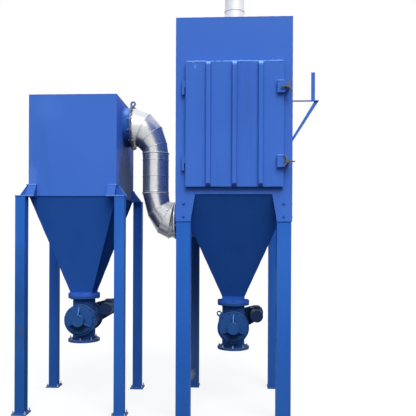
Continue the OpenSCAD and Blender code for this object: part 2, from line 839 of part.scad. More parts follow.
// Galvanised stub with a flange on the roof, a lapped seam and an end flange
module filter_roof_outlet() {
    bore = stack_d - 2 * duct_wall;
    rim_d = stack_d + 2 * stack_rim_w;
    color(zinc) at_filter() translate([0, 0, filt_top]) {
        tube(stack_d, bore, stack_h);
        flange(rim_d, bore, stack_rim_t, stack_d + stack_rim_w, stack_bolts, rim_hole_d);
        translate([0, 0, stack_h - stack_rim_t])
            flange(rim_d, bore, stack_rim_t, stack_d + stack_rim_w, stack_bolts, rim_hole_d);
        translate([0, 0, stack_seam_h]) rotate_extrude() translate([stack_d / 2 - 1, 0])
            polygon([[0, -bead_h], [bead_h, -bead_h / 2], [bead_h, bead_h / 2], [0, bead_h]]);
    }
}

// The spigot that enters the left slope of the filter hopper
module entry_cylinder(d) {
    translate([-filt_w / 2 - entry_reach, 0, entry_z]) rotate([0, 90, 0]) cylinder(d = d, h = filt_w / 2);
}

module filter_hopper() {
    color(blue) at_filter() difference() {
        hopper(filt_w, filt_d, filt_base, filt_valve_z, filt_neck_h);
        entry_cylinder(entry_d - 2 * spigot_wall);
    }
}

module filter_inlet_spigot() {
    color(blue) at_filter() {
        difference() {
            entry_cylinder(entry_d);
            translate([-1, 0, 0]) entry_cylinder(entry_d - 2 * spigot_wall);
            hopper_body(filt_w, filt_d, filt_base, filt_valve_z, filt_neck_h);
        }
        translate([-filt_w / 2 - entry_reach, 0, entry_z]) rotate([0, 90, 0])
            flange(entry_d + 2 * rim_w, entry_d - 2 * spigot_wall, rim_t, entry_d + rim_w, rim_bolts, rim_hole_d);
    }
}

// Two tapered plates that clasp the leg top in the front left corner
module corner_skirt() {
    for (turn = [0, 1])
        translate([-filt_w / 2, -filt_d / 2, filt_base]) mirror(turn == 0 ? [0, 0, 0] : [1, -1, 0])
            translate([0, skirt_t, 0]) rotate([90, 0, 0]) linear_extrude(skirt_t)
                polygon([[0, 0], [skirt_top_w, 0], [skirt_low_w, -skirt_h], [0, -skirt_h]]);
}

module filter_corner_skirts() {
    color(blue) at_filter() difference() {
        for (sx = [-1, 1], sy = [-1, 1]) at_corner(sx, sy) corner_skirt();
        hopper_body(filt_w, filt_d, filt_base, filt_valve_z, filt_neck_h, seat);
    }
}

// A leg in the front left corner, coped round the hopper at its top
module filter_leg() {
    cx = -filt_w / 2 + filt_leg_in;
    cy = -filt_d / 2 + filt_leg_in;
    difference() {
        translate([cx, cy, 0]) {
            difference() {
                block([-filt_leg / 2, -filt_leg / 2, 0], [filt_leg / 2, filt_leg / 2, filt_base]);
                block(
                    [-filt_leg / 2 + leg_wall, -filt_leg / 2 + leg_wall, foot_t],
                    [filt_leg / 2 - leg_wall, filt_leg / 2 - leg_wall, filt_base + 1]
                );
            }
            block([-filt_foot / 2, -filt_foot / 2, 0], [filt_foot / 2, filt_foot / 2, foot_t]);
        }
        hopper_body(filt_w, filt_d, filt_base, filt_valve_z, filt_neck_h, seat);
    }
}

module filter_leg_at(side_x, side_y) {
    color(blue) at_filter() at_corner(side_x, side_y) filter_leg();
}

// Door pieces

// A pan with a return lip, open at its back
module door_panel() {
    front = -door_front;
    back = -filt_d / 2 - seal_t;
    top = door_z + door_h;
    color(blue) at_filter() difference() {
        block([door_x0, front, door_z], [door_x1, back, top]);
        block(
            [door_x0 + door_sheet, front + door_sheet, door_z + door_sheet],
            [door_x1 - door_sheet, back - door_sheet, top - door_sheet]
        );
        block(
            [door_x0 + door_lip, back - door_sheet - 1, door_z + door_lip],
            [door_x1 - door_lip, back + 1, top - door_lip]
        );
    }
}

// Pressed channels from the top of the door to its bottom, with sloping sides and ends
module door_ribs() {
    color(blue) at_filter() for (k = [-1, 0, 1])
        translate([door_mid_x + k * rib_pitch, -door_front, door_z + door_h / 2]) rotate([90, 0, 0])
            difference() {
                rib_body(0, 0);
                rib_body(door_sheet, 1);
            }
}

// A rib's outer shape, or with an inset the hollow behind its sheet
module rib_body(inset, below) {
    foot_w = door_rib_w - 2 * inset;
    foot_l = door_h - 2 * inset;
    high = door_rib_h - inset;
    side_slope = rib_side_run / door_rib_h;
    pyramid(
        foot_w + 2 * side_slope * below, foot_l + 2 * below, -below,
        foot_w - 2 * side_slope * high, foot_l - 2 * high, high
    );
}

// Rubber frame between the door's lip and the housing
module door_seal() {
    edge = (door_lap - seal_w) / 2;
    back = -filt_d / 2 - seat;
    top = door_z + door_h;
    color(rubber) at_filter() difference() {
        block([door_x0 + edge, -filt_d / 2 - seal_t, door_z + edge], [door_x1 - edge, back, top - edge]);
        block(
            [door_x0 + edge + seal_w, -filt_d / 2 - seal_t - 1, door_z + edge + seal_w],
            [door_x1 - edge - seal_w, back + 1, top - edge - seal_w]
        );
    }
}

// The fixed lower knuckle of a hinge, with its pin and the block that welds it on
module hinge_pintle(z) {
    translate([hinge_x, hinge_y, z - knuckle_h]) {
        cylinder(d = knuckle_d, h = knuckle_h - seat);
        cylinder(d = pin_d, h = 2 * knuckle_h - 8);
        block([-knuckle_d / 4, 0, 0], [knuckle_d / 4, -filt_d / 2 - hinge_y, knuckle_h - seat]);
    }
}

// The door's upper knuckle, a blind sleeve over the pin, with its leaf to the door edge
module hinge_sleeve(z) {
    difference() {
        translate([hinge_x, hinge_y, z]) {
            cylinder(d = knuckle_d, h = knuckle_h);
            block([0, -knuckle_d / 4, 0], [door_x0 - hinge_x, knuckle_d / 4, knuckle_h]);
        }
        translate([hinge_x, hinge_y, z - 1]) cylinder(d = pin_d + 2 * running, h = knuckle_h - 7 + seat);
    }
}

module door_hinge_pintles() {
    color(blue) at_filter() for (z = [hinge_low_z, hinge_high_z]) hinge_pintle(z);
}

module door_hinge_sleeves() {
    color(blue) at_filter() for (z = [hinge_low_z, hinge_high_z]) hinge_sleeve(z);
}

// A lug that reaches past the door's edge and holds the clamp screw
module clamp_lug(z) {
    nose = anchor_d / 2;
    difference() {
        union() {
            block(
                [screw_x - lug_run, -door_front - lug_t, z - lug_h / 2],
                [screw_x, -door_front, z + lug_h / 2]
            );
            translate([screw_x, -door_front, z]) rotate([90, 0, 0]) cylinder(r = nose, h = lug_t);
        }
        translate([screw_x, -door_front + 1, z]) rotate([90, 0, 0])
            cylinder(d = screw_d + 2 * running, h = lug_t + 2);
        for (side = [-1, 1]) lug_chamfer(z, side);
    }
}

// Cuts a lug's outer corner back to its round nose
module lug_chamfer(z, side) {
    nose = anchor_d / 2;
    cut = lug_h / 2 - nose;
    translate([screw_x, -door_front + 1, z]) rotate([90, 0, 0]) linear_extrude(lug_t + 2)
        polygon([[-cut, side * (nose + cut + 1)], [1, side * nose], [1, side * (nose + cut + 1)]]);
}

module door_clamp_lugs() {
    color(blue) at_filter() for (z = [clamp_low_z, clamp_high_z]) clamp_lug(z);
}

// Bosses on the housing that take the ends of the clamp screws
module clamp_anchors() {
    color(blue) at_filter() for (z = [clamp_low_z, clamp_high_z])
        translate([screw_x, -filt_d / 2, z]) rotate([90, 0, 0])
            tube(anchor_d, screw_d + 2 * anchor_gap, anchor_l);
}

// A three-armed star knob on its screw, held by a collar behind the lug
module clamp_knob(z, first_arm) {
    collar_t = 5;
    screw_end = -filt_d / 2 - anchor_l / 2;
    color(bare_metal) at_filter() translate([screw_x, 0, z]) {
        translate([0, -knob_back, 0]) rotate([90, 0, 0]) cylinder(d = knob_hub_d, h = knob_hub_h);
        translate([0, screw_end, 0]) rotate([90, 0, 0])
            cylinder(d = screw_d, h = screw_end + knob_back + 1);
        translate([0, -door_front + seat + collar_t, 0]) rotate([90, 0, 0])
            cylinder(d = screw_d + 8, h = collar_t);
        for (k = [0 : 2]) translate([0, -knob_back - knob_hub_h / 2, 0])
            rotate([0, -first_arm - 120 * k, 0]) {
                rotate([0, 90, 0]) cylinder(d1 = knob_arm_d, d2 = knob_tip_d * 0.8, h = knob_r - knob_tip_d / 2);
                translate([knob_r - knob_tip_d / 2, 0, 0]) sphere(d = knob_tip_d);
            }
    }
}

// Side bracket

// A triangular bracket of flat bars with an upright post
module side_bracket() {
    bar = bracket_bar;
    color(blue) at_filter() translate([filt_w / 2, front_y + bracket_y, 0]) {
        block([0, -bar / 2, bracket_foot_z - bar], [5, bar / 2, bracket_z]);
        block([0, -bar / 2, bracket_z - 5], [bracket_reach, bar / 2, bracket_z]);
        translate([0, 2.5, 0]) rotate([90, 0, 0]) linear_extrude(5)
            polygon([
                [2, bracket_foot_z - bar * 0.7], [2, bracket_foot_z + bar * 0.5],
                [bracket_reach - bar * 1.1, bracket_z - 3], [bracket_reach, bracket_z - 3]
            ]);
        block([bracket_reach - 2 * bar, -2.5, bracket_z - 3], [bracket_reach - bar, 2.5, bracket_z + bracket_post_h]);
    }
}

separator_front_wall();
separator_back_wall();
separator_side_wall(-1);  // separator_left_wall
separator_side_wall(1);  // separator_right_wall
separator_roof();
separator_hopper();
separator_inlet_spigot();
separator_outlet_spigot();
separator_leg_at(-1, -1);  // separator_leg_front_left
separator_leg_at(1, -1);  // separator_leg_front_right
separator_leg_at(-1, 1);  // separator_leg_back_left
separator_leg_at(1, 1);  // separator_leg_back_right
separator_corner_brackets();
at_separator() translate([0, 0, sep_valve_z]) valve_casing([]);  // separator_valve_casing
at_separator() translate([0, 0, sep_valve_z]) valve_covers();  // separator_valve_covers
at_separator() translate([0, 0, sep_valve_z]) valve_rotor();  // separator_valve_rotor
at_separator() translate([0, 0, sep_valve_z]) valve_drive();  // separator_valve_drive
duct_upper_elbow();
duct_riser();
duct_lower_elbow();
front_piece(-filt_w / 2, filt_w / 2, open_z1, wall_top);  // filter_front_top
front_piece(-filt_w / 2, filt_w / 2, filt_base, open_z0);  // filter_front_bottom
front_piece(-filt_w / 2, open_x0, open_z0, open_z1);  // filter_front_left
front_piece(open_x1, filt_w / 2, open_z0, open_z1);  // filter_front_right
filter_side_wall(-1);  // filter_left_wall
filter_side_wall(1);  // filter_right_wall
filter_back_wall();
filter_roof();
filter_roof_outlet();
filter_hopper();
filter_inlet_spigot();
filter_corner_skirts();
filter_leg_at(-1, -1);  // filter_leg_front_left
filter_leg_at(1, -1);  // filter_leg_front_right
filter_leg_at(-1, 1);  // filter_leg_back_left
filter_leg_at(1, 1);  // filter_leg_back_right
at_filter() translate([0, 0, filt_valve_z]) valve_casing([-1]);  // filter_valve_casing
at_filter() translate([0, 0, filt_valve_z]) valve_covers();  // filter_valve_covers
at_filter() translate([0, 0, filt_valve_z]) valve_rotor();  // filter_valve_rotor
at_filter() translate([0, 0, filt_valve_z]) valve_drive();  // filter_valve_drive
door_panel();
door_ribs();
door_seal();
door_hinge_sleeves();
door_hinge_pintles();
door_clamp_lugs();
clamp_anchors();
clamp_knob(clamp_low_z, 115);  // clamp_knob_lower
clamp_knob(clamp_high_z, 70);  // clamp_knob_upper
side_bracket();
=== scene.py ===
"""Looks of a two-stage dust separator plant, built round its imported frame.

A box-shaped separator and a taller filter housing stand on legs, joined by a gored duct, each
with a pyramid hopper over a rotary valve. The classes below give every solid of the frame its
finish, and add the bolts, weld beads, seams, rivets and small hardware of such a plant.
"""

import logging
import math
from dataclasses import dataclass, field
from enum import Enum

import bpy
from mathutils import Matrix, Vector

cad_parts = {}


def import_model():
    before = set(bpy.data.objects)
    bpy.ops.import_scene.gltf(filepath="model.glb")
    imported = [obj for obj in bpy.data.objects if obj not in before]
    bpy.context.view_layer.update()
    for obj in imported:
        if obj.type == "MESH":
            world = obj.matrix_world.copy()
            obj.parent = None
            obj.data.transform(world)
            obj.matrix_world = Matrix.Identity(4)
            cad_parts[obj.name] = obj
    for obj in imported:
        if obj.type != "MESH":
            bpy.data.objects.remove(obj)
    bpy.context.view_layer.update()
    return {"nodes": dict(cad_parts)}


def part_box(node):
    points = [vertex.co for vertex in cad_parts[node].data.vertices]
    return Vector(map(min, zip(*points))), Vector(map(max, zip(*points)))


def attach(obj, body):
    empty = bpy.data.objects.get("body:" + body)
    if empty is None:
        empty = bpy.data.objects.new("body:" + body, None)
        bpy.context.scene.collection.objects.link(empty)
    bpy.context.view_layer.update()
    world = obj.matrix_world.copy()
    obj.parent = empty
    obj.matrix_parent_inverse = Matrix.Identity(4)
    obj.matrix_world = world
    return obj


log = logging.getLogger("dust_separator")

Path = list[Vector]
Triple = tuple[float, float, float]
Socket = bpy.types.NodeSocket

RIGHT = Vector((1, 0, 0))
BACK = Vector((0, 1, 0))
UP = Vector((0, 0, 1))
CORNERS = ((-1, -1), (-1, 1), (1, -1), (1, 1))


class Slot(Enum):
    """The record's material slots."""

    VESSEL = "vessel_paint"
    FRAME = "frame_paint"
    VALVE = "valve_paint"
    DRIVE = "drive_paint"
    ZINC = "galvanised_sheet"
    ROTOR = "rotor_steel"
    KNOB = "knob_metal"
    SEAL = "seal_rubber"


class Special(Enum):
    """Finishes that single pieces have in place of their slot's own."""

    SHADED_HOPPER = "hopper_shaded_blue"
    BRACKET = "bracket_blue"
    WORN_HIGHLIT = "worn_highlit_edge_blue"
    DOOR = "door_blue"
    RIBS = "rib_blue"
    OUTLET = "outlet_blue"
    ELBOW = "flanged_zinc"
    STUB = "pale_zinc"
    PLATED = "plated_bolts"


@dataclass(frozen=True)
class Mark:
    """A ragged patch of another colour, such as a scuff or a rust streak."""

    centre: Triple
    reach: Triple
    colour: Triple
    strength: float = 0.8
    grain: float = 40.0


# Node trees


class Graph:
    """A node tree, with short calls that add nodes and fill their inputs."""

    def __init__(self, tree: bpy.types.NodeTree) -> None:
        """Empty the tree."""
        tree.nodes.clear()
        self.tree = tree

    def put(self, socket: Socket, value: object) -> None:
        """Link an output to an input, or set the input's own value.

        Args:
            socket: The input to fill.
            value: An output, a number, a tuple of numbers, a name or a switch.
        """
        if isinstance(value, Socket):
            self.tree.links.new(value, socket)
        elif socket.type == "RGBA":
            socket.default_value = (*value, 1.0)
        else:
            socket.default_value = value

    def fill(self, node: bpy.types.Node, **sockets: object) -> None:
        """Fill a node's shown inputs by name, with spaces as underscores."""
        for name, value in sockets.items():
            self.put(next(s for s in node.inputs if s.enabled and s.name == name.replace("_", " ")), value)

    def node(self, kind: str, settings: dict | None = None, **sockets: object) -> bpy.types.Node:
        """Add a node.

        Args:
            kind: Type name of the node.
            settings: Properties of the node, such as a mode.
            **sockets: Names of inputs, and what goes in.

        Returns:
            The new node.
        """
        made = self.tree.nodes.new(kind)
        for name, value in (settings or {}).items():
            setattr(made, name, value)
        self.fill(made, **sockets)
        return made

    def in_order(self, kind: str, settings: dict, *values: object) -> bpy.types.Node:
        """Add a node and fill its inputs in their order.

        Args:
            kind: Type name of the node.
            settings: Properties of the node.
            *values: What goes into its first inputs.

        Returns:
            The new node.
        """
        made = self.node(kind, settings)
        for socket, value in zip(made.inputs, values):
            self.put(socket, value)
        return made

    def math(self, operation: str, *values: object) -> Socket:
        """One step of arithmetic."""
        return self.in_order("ShaderNodeMath", {"operation": operation}, *values).outputs[0]

    def ramp(self, value: Socket, low: float, high: float, start: float = 0.0, end: float = 1.0) -> Socket:
        """Map a value's range low..high to start..end, clamped."""
        ends = {"From_Min": low, "From_Max": high, "To_Min": start, "To_Max": end}
        return self.node("ShaderNodeMapRange", {"clamp": True}, Value=value, **ends).outputs["Result"]

    def part(self, vector: Socket, axis: str) -> Socket:
        """A vector's part along an axis."""
        return self.node("ShaderNodeSeparateXYZ", Vector=vector).outputs[axis]

    def show(self, output: str, lit: Socket, seen: Socket) -> None:
        """End a world or a floor that looks one way and lights the object another way.

        Args:
            output: Type name of the output node.
            lit: The shader that lights the object.
            seen: The shader that the camera sees, straight or by way of gloss or glass.
        """
        rays = self.node("ShaderNodeLightPath").outputs
        by_eye = rays["Is Camera Ray"]
        for name in ("Is Glossy Ray", "Is Transmission Ray"):
            by_eye = self.math("MAXIMUM", by_eye, rays[name])
        mix = self.in_order("ShaderNodeMixShader", {}, by_eye, lit, seen)
        self.node(output, Surface=mix.outputs[0])


class ShaderTree(Graph):
    """One material's node tree, with short calls for the nodes that finishes are made of."""

    def __init__(self, name: str) -> None:
        """Make a material with a Principled shader.

        Args:
            name: Name of the material.
        """
        self.material = bpy.data.materials.new(name)
        self.material.use_nodes = True
        super().__init__(self.material.node_tree)
        self.shader = self.node("ShaderNodeBsdfPrincipled")
        self.node("ShaderNodeOutputMaterial", Surface=self.shader.outputs["BSDF"])
        self.place = self.node("ShaderNodeTexCoord").outputs["Object"]
        self.normal = self.node("ShaderNodeNewGeometry").outputs["Normal"]

    def shade(self, **sockets: object) -> None:
        """Fill the shader's inputs by name, with spaces as underscores."""
        self.fill(self.shader, **sockets)

    def noise(self, scale: float, detail: float, shift: float, stretch: Triple = (1.0, 1.0, 1.0)) -> Socket:
        """Noise over the piece's own place.

        Args:
            scale: Waves in a metre.
            detail: Octaves of finer noise.
            shift: Offset that tells one noise from the next.
            stretch: Scale along X, Y and Z.

        Returns:
            The noise value, from 0 to 1.
        """
        offset = (shift, shift, shift)
        place = self.node("ShaderNodeMapping", Vector=self.place, Location=offset, Scale=stretch).outputs[0]
        return self.node("ShaderNodeTexNoise", Vector=place, Scale=scale, Detail=detail).outputs[0]

    def vector(self, operation: str, *values: object) -> bpy.types.Node:
        """One step of vector arithmetic; its node has the outputs Vector and Value."""
        return self.in_order("ShaderNodeVectorMath", {"operation": operation}, *values)

    def layered(self, colour: Triple, *layers: tuple[object, Triple]) -> Socket:
        """A colour with others laid over it.

        Args:
            colour: The lowest colour.
            *layers: The share and colour of each layer above it, from the bottom up.

        Returns:
            The colour that they make together.
        """
        for share, over in layers:
            mixed = self.node("ShaderNodeMix", {"data_type": "RGBA"}, Factor=share, A=colour, B=over)
            colour = mixed.outputs[2]
        return colour

    def bump(self, height: Socket, depth: float, **under: Socket) -> Socket:
        """Turn a height from 0 to 1 into a relief of that depth in metres, over a Normal if given."""
        relief = self.node("ShaderNodeBump", Height=height, Strength=1.0, Distance=depth, **under)
        return relief.outputs["Normal"]

    def rounded_edges(self, radius: float) -> Socket:
        """The normal of a surface whose edges are rounded to a radius."""
        return self.node("ShaderNodeBevel", {"samples": 4}, Radius=radius).outputs["Normal"]

    def edge_mask(self, rounded: Socket, patchiness: Socket) -> Socket:
        """Mask of the outer edges, broken up by a noise."""
        match = self.vector("DOT_PRODUCT", rounded, self.normal).outputs["Value"]
        return self.math("MULTIPLY", self.ramp(match, 0.995, 0.9), self.ramp(patchiness, 0.45, 0.62))

    def hollows(self, reach: float, strength: float, low: float = 0.3) -> Socket:
        """Mask of inner corners, from ambient occlusion, which follows where shade falls.

        Args:
            reach: How near another surface is.
            strength: Value of the mask in the deepest corners.
            low: Shade at which the mask begins.

        Returns:
            The mask, from 0 to its strength.
        """
        light = self.node("ShaderNodeAmbientOcclusion", {"samples": 6}, Distance=reach).outputs["AO"]
        return self.ramp(self.math("SUBTRACT", 1.0, light), low, low + 0.6, 0.0, strength)

    def facing(self, axis: str, low: float, high: float) -> Socket:
        """How far a surface faces along an axis, as its normal's share of it goes from low to high."""
        return self.ramp(self.part(self.normal, axis), low, high)

    def marked(self, marks: tuple[Mark, ...], colour: Socket, rough: Socket) -> tuple[Socket, Socket]:
        """Lay ragged marks over a finish.

        Args:
            marks: The marks.
            colour: The finish's colour.
            rough: The finish's roughness.

        Returns:
            Colour and roughness with the marks in them.
        """
        for i, mark in enumerate(marks):
            spot = self.math("MULTIPLY", self.patch(mark, 5.0 + 2.3 * i), mark.strength)
            colour = self.layered(colour, (spot, mark.colour))
            rough = self.math("ADD", rough, self.math("MULTIPLY", spot, 0.3))
        return colour, rough

    def patch(self, mark: Mark, shift: float) -> Socket:
        """Mask of one ragged patch.

        Args:
            mark: Whose centre, reach and grain it has.
            shift: Offset of the noise that breaks up its edge.

        Returns:
            The mask, from 0 to 1.
        """
        away = self.vector("SUBTRACT", self.place, mark.centre).outputs["Vector"]
        scaled = self.vector("DIVIDE", away, mark.reach).outputs["Vector"]
        distance = self.vector("LENGTH", scaled).outputs["Value"]
        ragged = self.math("MULTIPLY_ADD", self.noise(mark.grain, 4.0, shift), 1.3, -0.65)
        return self.ramp(self.math("ADD", distance, ragged), 1.0, 0.35)


class ShapeTree(Graph):
    """A Geometry Nodes tree with named sizes."""

    def __init__(self, name: str, finished: bool = True, **sizes: float) -> None:
        """Make a tree that takes a mesh and the sizes named.

        Args:
            name: Name of the tree.
            finished: Whether it takes a finish too, and makes pieces of its own.
            **sizes: Name and default of each size.
        """
        super().__init__(bpy.data.node_groups.new(name, "GeometryNodeTree"))
        face = self.tree.interface
        face.new_socket("Geometry", in_out="OUTPUT", socket_type="NodeSocketGeometry")
        face.new_socket("Geometry", in_out="INPUT", socket_type="NodeSocketGeometry")
        self.keys: dict[str, str] = {}
        for size, default in sizes.items():
            socket = face.new_socket(size, in_out="INPUT", socket_type="NodeSocketFloat")
            socket.default_value = default
            self.keys[size] = socket.identifier
        if finished:
            socket = face.new_socket("Finish", in_out="INPUT", socket_type="NodeSocketMaterial")
            self.keys["Finish"] = socket.identifier
        self.given = self.node("NodeGroupInput").outputs
        self.result = self.node("NodeGroupOutput").inputs[0]

    def point(self, x: object = 0.0, y: object = 0.0, z: object = 0.0) -> Socket:
        """A vector from three values."""
        return self.node("ShaderNodeCombineXYZ", X=x, Y=y, Z=z).outputs["Vector"]

    def lifted(self, shape: Socket, z: Socket) -> Socket:
        """A shape moved up."""
        return self.node("GeometryNodeTransform", Geometry=shape, Translation=self.point(z=z)).outputs[0]

    def prism(self, sides: int, radius: object, low: object, high: object) -> Socket:
        """An upright prism.

        Args:
            sides: Number of its sides.
            radius: Radius over its corners.
            low: Height of its foot.
            high: Height of its top.

        Returns:
            The prism.
        """
        depth = self.math("SUBTRACT", high, low)
        filled = {"fill_type": "NGON"}
        shape = self.node("GeometryNodeMeshCylinder", filled, Vertices=sides, Radius=radius, Depth=depth)
        return self.lifted(shape.outputs["Mesh"], self.math("MULTIPLY", self.math("ADD", low, high), 0.5))

    def place_on_points(self, shape: Socket, spin: float, smooth: bool = False) -> None:
        """Put a shape on each point, turned to its axis, and close the tree.

        Args:
            shape: What stands on each point, upright.
            spin: Largest random turn about the axis, in radians.
            smooth: Whether the result is shaded smooth.
        """
        axis = self.node("GeometryNodeInputNamedAttribute", {"data_type": "FLOAT_VECTOR"}, Name="axis")
        up = {"axis": "Z"}
        turned = self.node("FunctionNodeAlignRotationToVector", up, Vector=axis.outputs["Attribute"])
        chance = self.node("FunctionNodeRandomValue", {"data_type": "FLOAT"}, Min=0.0, Max=spin, Seed=4)
        angle = next(s for s in chance.outputs if s.enabled)
        about = self.node("FunctionNodeAxisAngleToRotation", Axis=(0.0, 0.0, 1.0), Angle=angle).outputs[0]
        local = {"rotation_space": "LOCAL"}
        spun = self.node("FunctionNodeRotateRotation", local, Rotation=turned.outputs[0], Rotate_By=about)
        points = {"Points": self.given["Geometry"], "Instance": shape, "Rotation": spun.outputs[0]}
        self.close(self.node("GeometryNodeInstanceOnPoints", **points).outputs[0], smooth)

    def close(self, shape: Socket, smooth: bool) -> None:
        """End the tree: realized, shaded and with its finish.

        Args:
            shape: The geometry to hand out.
            smooth: Whether faces that meet at a small angle are shaded as one surface.
        """
        real = self.node("GeometryNodeRealizeInstances", Geometry=shape).outputs[0]
        shaded = self.node("GeometryNodeSetShadeSmooth", Geometry=real, Shade_Smooth=smooth).outputs[0]
        done = self.node("GeometryNodeSetMaterial", Geometry=shaded, Material=self.given["Finish"])
        self.put(self.result, done.outputs[0])

    def grow(
        self, name: str, seeds: bpy.types.Mesh, finish: bpy.types.Material, **sizes: float
    ) -> bpy.types.Object:
        """Run the tree on a mesh and keep the result as a plain mesh object.

        Args:
            name: Name of the piece.
            seeds: The points or lines that the tree works on.
            finish: Material of the piece.
            **sizes: Values for the tree's named sizes.

        Returns:
            The new object, linked to the scene.
        """
        source = linked(name + "_seeds", seeds)
        modifier = source.modifiers.new("shape", "NODES")
        modifier.node_group = self.tree
        for size, value in {"Finish": finish, **sizes}.items():
            modifier[self.keys[size]] = value
        graph = bpy.context.evaluated_depsgraph_get()
        mesh = bpy.data.meshes.new_from_object(source.evaluated_get(graph), depsgraph=graph)
        bpy.data.objects.remove(source)
        mesh.name = name
        if "axis" in mesh.attributes:
            mesh.attributes.remove(mesh.attributes["axis"])
        return linked(name, mesh)


def linked(name: str, data: bpy.types.ID) -> bpy.types.Object:
    """A new object in the scene.

    Args:
        name: Name of the object.
        data: What it holds.

    Returns:
        The object.
    """
    made = bpy.data.objects.new(name, data)
    bpy.context.scene.collection.objects.link(made)
    return made


def bolt_tree() -> ShapeTree:
    """A washer, a chamfered hexagon and a stud end on each point.

    Returns:
        The tree. Its sizes are the head's radius and height, and the stud's radius and reach.
    """
    tree = ShapeTree("bolts", Head=0.010, Height=0.008, Stud=0.006, Reach=0.014)
    head, height, stud, reach = (tree.given[size] for size in ("Head", "Height", "Stud", "Reach"))
    washer_t = tree.math("MULTIPLY", height, 0.25)
    neck = tree.math("MULTIPLY", height, 0.85)
    cone = tree.node(
        "GeometryNodeMeshCone",
        {"fill_type": "NGON"},
        Vertices=6,
        Radius_Bottom=head,
        Radius_Top=tree.math("MULTIPLY", head, 0.86),
        Depth=tree.math("SUBTRACT", height, neck),
    )
    shapes = (
        tree.prism(16, tree.math("MULTIPLY", head, 1.22), -0.0002, washer_t),
        tree.prism(6, head, washer_t, neck),
        tree.lifted(cone.outputs["Mesh"], neck),
        tree.prism(10, stud, tree.math("MULTIPLY", height, 0.5), reach),
    )
    joined = tree.node("GeometryNodeJoinGeometry")
    for shape in shapes:
        tree.put(joined.inputs[0], shape)
    tree.place_on_points(joined.outputs[0], spin=math.pi / 3)
    return tree


def rivet_tree() -> ShapeTree:
    """A low dome on each point.

    Returns:
        The tree. Its sizes are the dome's radius and height.
    """
    tree = ShapeTree("rivets", Radius=0.004, Height=0.0015)
    radius = tree.given["Radius"]
    ball = tree.node("GeometryNodeMeshUVSphere", Segments=8, Rings=6, Radius=radius)
    flat = tree.point(1.0, 1.0, tree.math("DIVIDE", tree.given["Height"], radius))
    dome = tree.node("GeometryNodeTransform", Geometry=ball.outputs["Mesh"], Scale=flat)
    tree.place_on_points(dome.outputs[0], spin=0.0, smooth=True)
    return tree


def bead_tree(name: str, sides: int, ripple: float) -> ShapeTree:
    """A tube along each line, with ripples as a weld run has.

    Args:
        name: Name of the tree.
        sides: Sides of the tube.
        ripple: Share by which its radius changes.

    Returns:
        The tree. Its sizes are the bead's radius and the step between rings.
    """
    tree = ShapeTree(name, Radius=0.003, Step=0.008)
    line = tree.node("GeometryNodeMeshToCurve", Mesh=tree.given["Geometry"]).outputs[0]
    fine = tree.node("GeometryNodeResampleCurve", {"mode": "LENGTH"}, Curve=line, Length=tree.given["Step"])
    index = tree.node("GeometryNodeInputIndex").outputs[0]
    waves = [tree.math("SINE", tree.math("MULTIPLY", index, pace)) for pace in (2.1, 0.37)]
    width = tree.math("ADD", 1.0, tree.math("MULTIPLY", tree.math("ADD", *waves), ripple / 2))
    ring = tree.node("GeometryNodeCurvePrimitiveCircle", Resolution=sides, Radius=tree.given["Radius"])
    curves = {"Curve": fine.outputs[0], "Profile_Curve": ring.outputs[0]}
    tube = tree.node("GeometryNodeCurveToMesh", **curves, Scale=width, Fill_Caps=True)
    tree.close(tube.outputs[0], smooth=True)
    return tree


def softening_tree() -> ShapeTree:
    """A tree that merges loose triangles and shades smooth where faces meet at under its crease angle.

    Returns:
        The tree. Its size is the crease angle, in radians.
    """
    tree = ShapeTree("shade_by_angle", finished=False, Crease=math.radians(30))
    merged = tree.node("GeometryNodeMergeByDistance", Geometry=tree.given["Geometry"], Distance=0.00002)
    angle = tree.node("GeometryNodeInputMeshEdgeAngle").outputs["Unsigned Angle"]
    above = {"data_type": "FLOAT", "operation": "GREATER_THAN"}
    sharp = tree.node("FunctionNodeCompare", above, A=angle, B=tree.given["Crease"]).outputs[0]
    smooth = tree.node("GeometryNodeSetShadeSmooth", Geometry=merged.outputs[0]).outputs[0]
    creased = tree.node(
        "GeometryNodeSetShadeSmooth", {"domain": "EDGE"}, Geometry=smooth, Selection=sharp, Shade_Smooth=False
    )
    tree.put(tree.result, creased.outputs[0])
    return tree


# Seeds for the trees


@dataclass
class Stud:
    """One place for a bolt or rivet: where its seat is and which way its head points."""

    place: Vector
    axis: Vector


def stud_mesh(name: str, studs: list[Stud]) -> bpy.types.Mesh:
    """A mesh of loose points with an axis each.

    Args:
        name: Name of the mesh.
        studs: The places and axes.

    Returns:
        The mesh, with the vector attribute "axis".
    """
    mesh = bpy.data.meshes.new(name)
    mesh.from_pydata([s.place for s in studs], [], [])
    axis = mesh.attributes.new("axis", "FLOAT_VECTOR", "POINT")
    axis.data.foreach_set("vector", [c for s in studs for c in s.axis])
    return mesh


def path_mesh(name: str, paths: list[Path], closed: bool) -> bpy.types.Mesh:
    """A mesh of open or closed lines.

    Args:
        name: Name of the mesh.
        paths: The points of each line.
        closed: Whether each line returns to its first point.

    Returns:
        The mesh, with edges only.
    """
    points: Path = []
    edges: list[tuple[int, int]] = []
    for path in paths:
        first = len(points)
        points += path
        edges += [(first + i, first + i + 1) for i in range(len(path) - 1)]
        if closed:
            edges.append((first + len(path) - 1, first))
    mesh = bpy.data.meshes.new(name)
    mesh.from_pydata(points, edges, [])
    return mesh


def around(
    centre: Vector, first: Vector, second: Vector, radius: float, count: int, turn: float = 0.0
) -> list[Stud]:
    """Places round a circle, each with its way out from the middle.

    Args:
        centre: Middle of the circle.
        first: The way to its first place.
        second: The way to the place a quarter turn on.
        radius: Radius of the circle.
        count: Number of places.
        turn: Share of a pitch by which the first place is turned.

    Returns:
        The places.
    """
    angles = [2 * math.pi * (i + turn) / count for i in range(count)]
    ways = [first * math.cos(a) + second * math.sin(a) for a in angles]
    return [Stud(centre + radius * way, way) for way in ways]


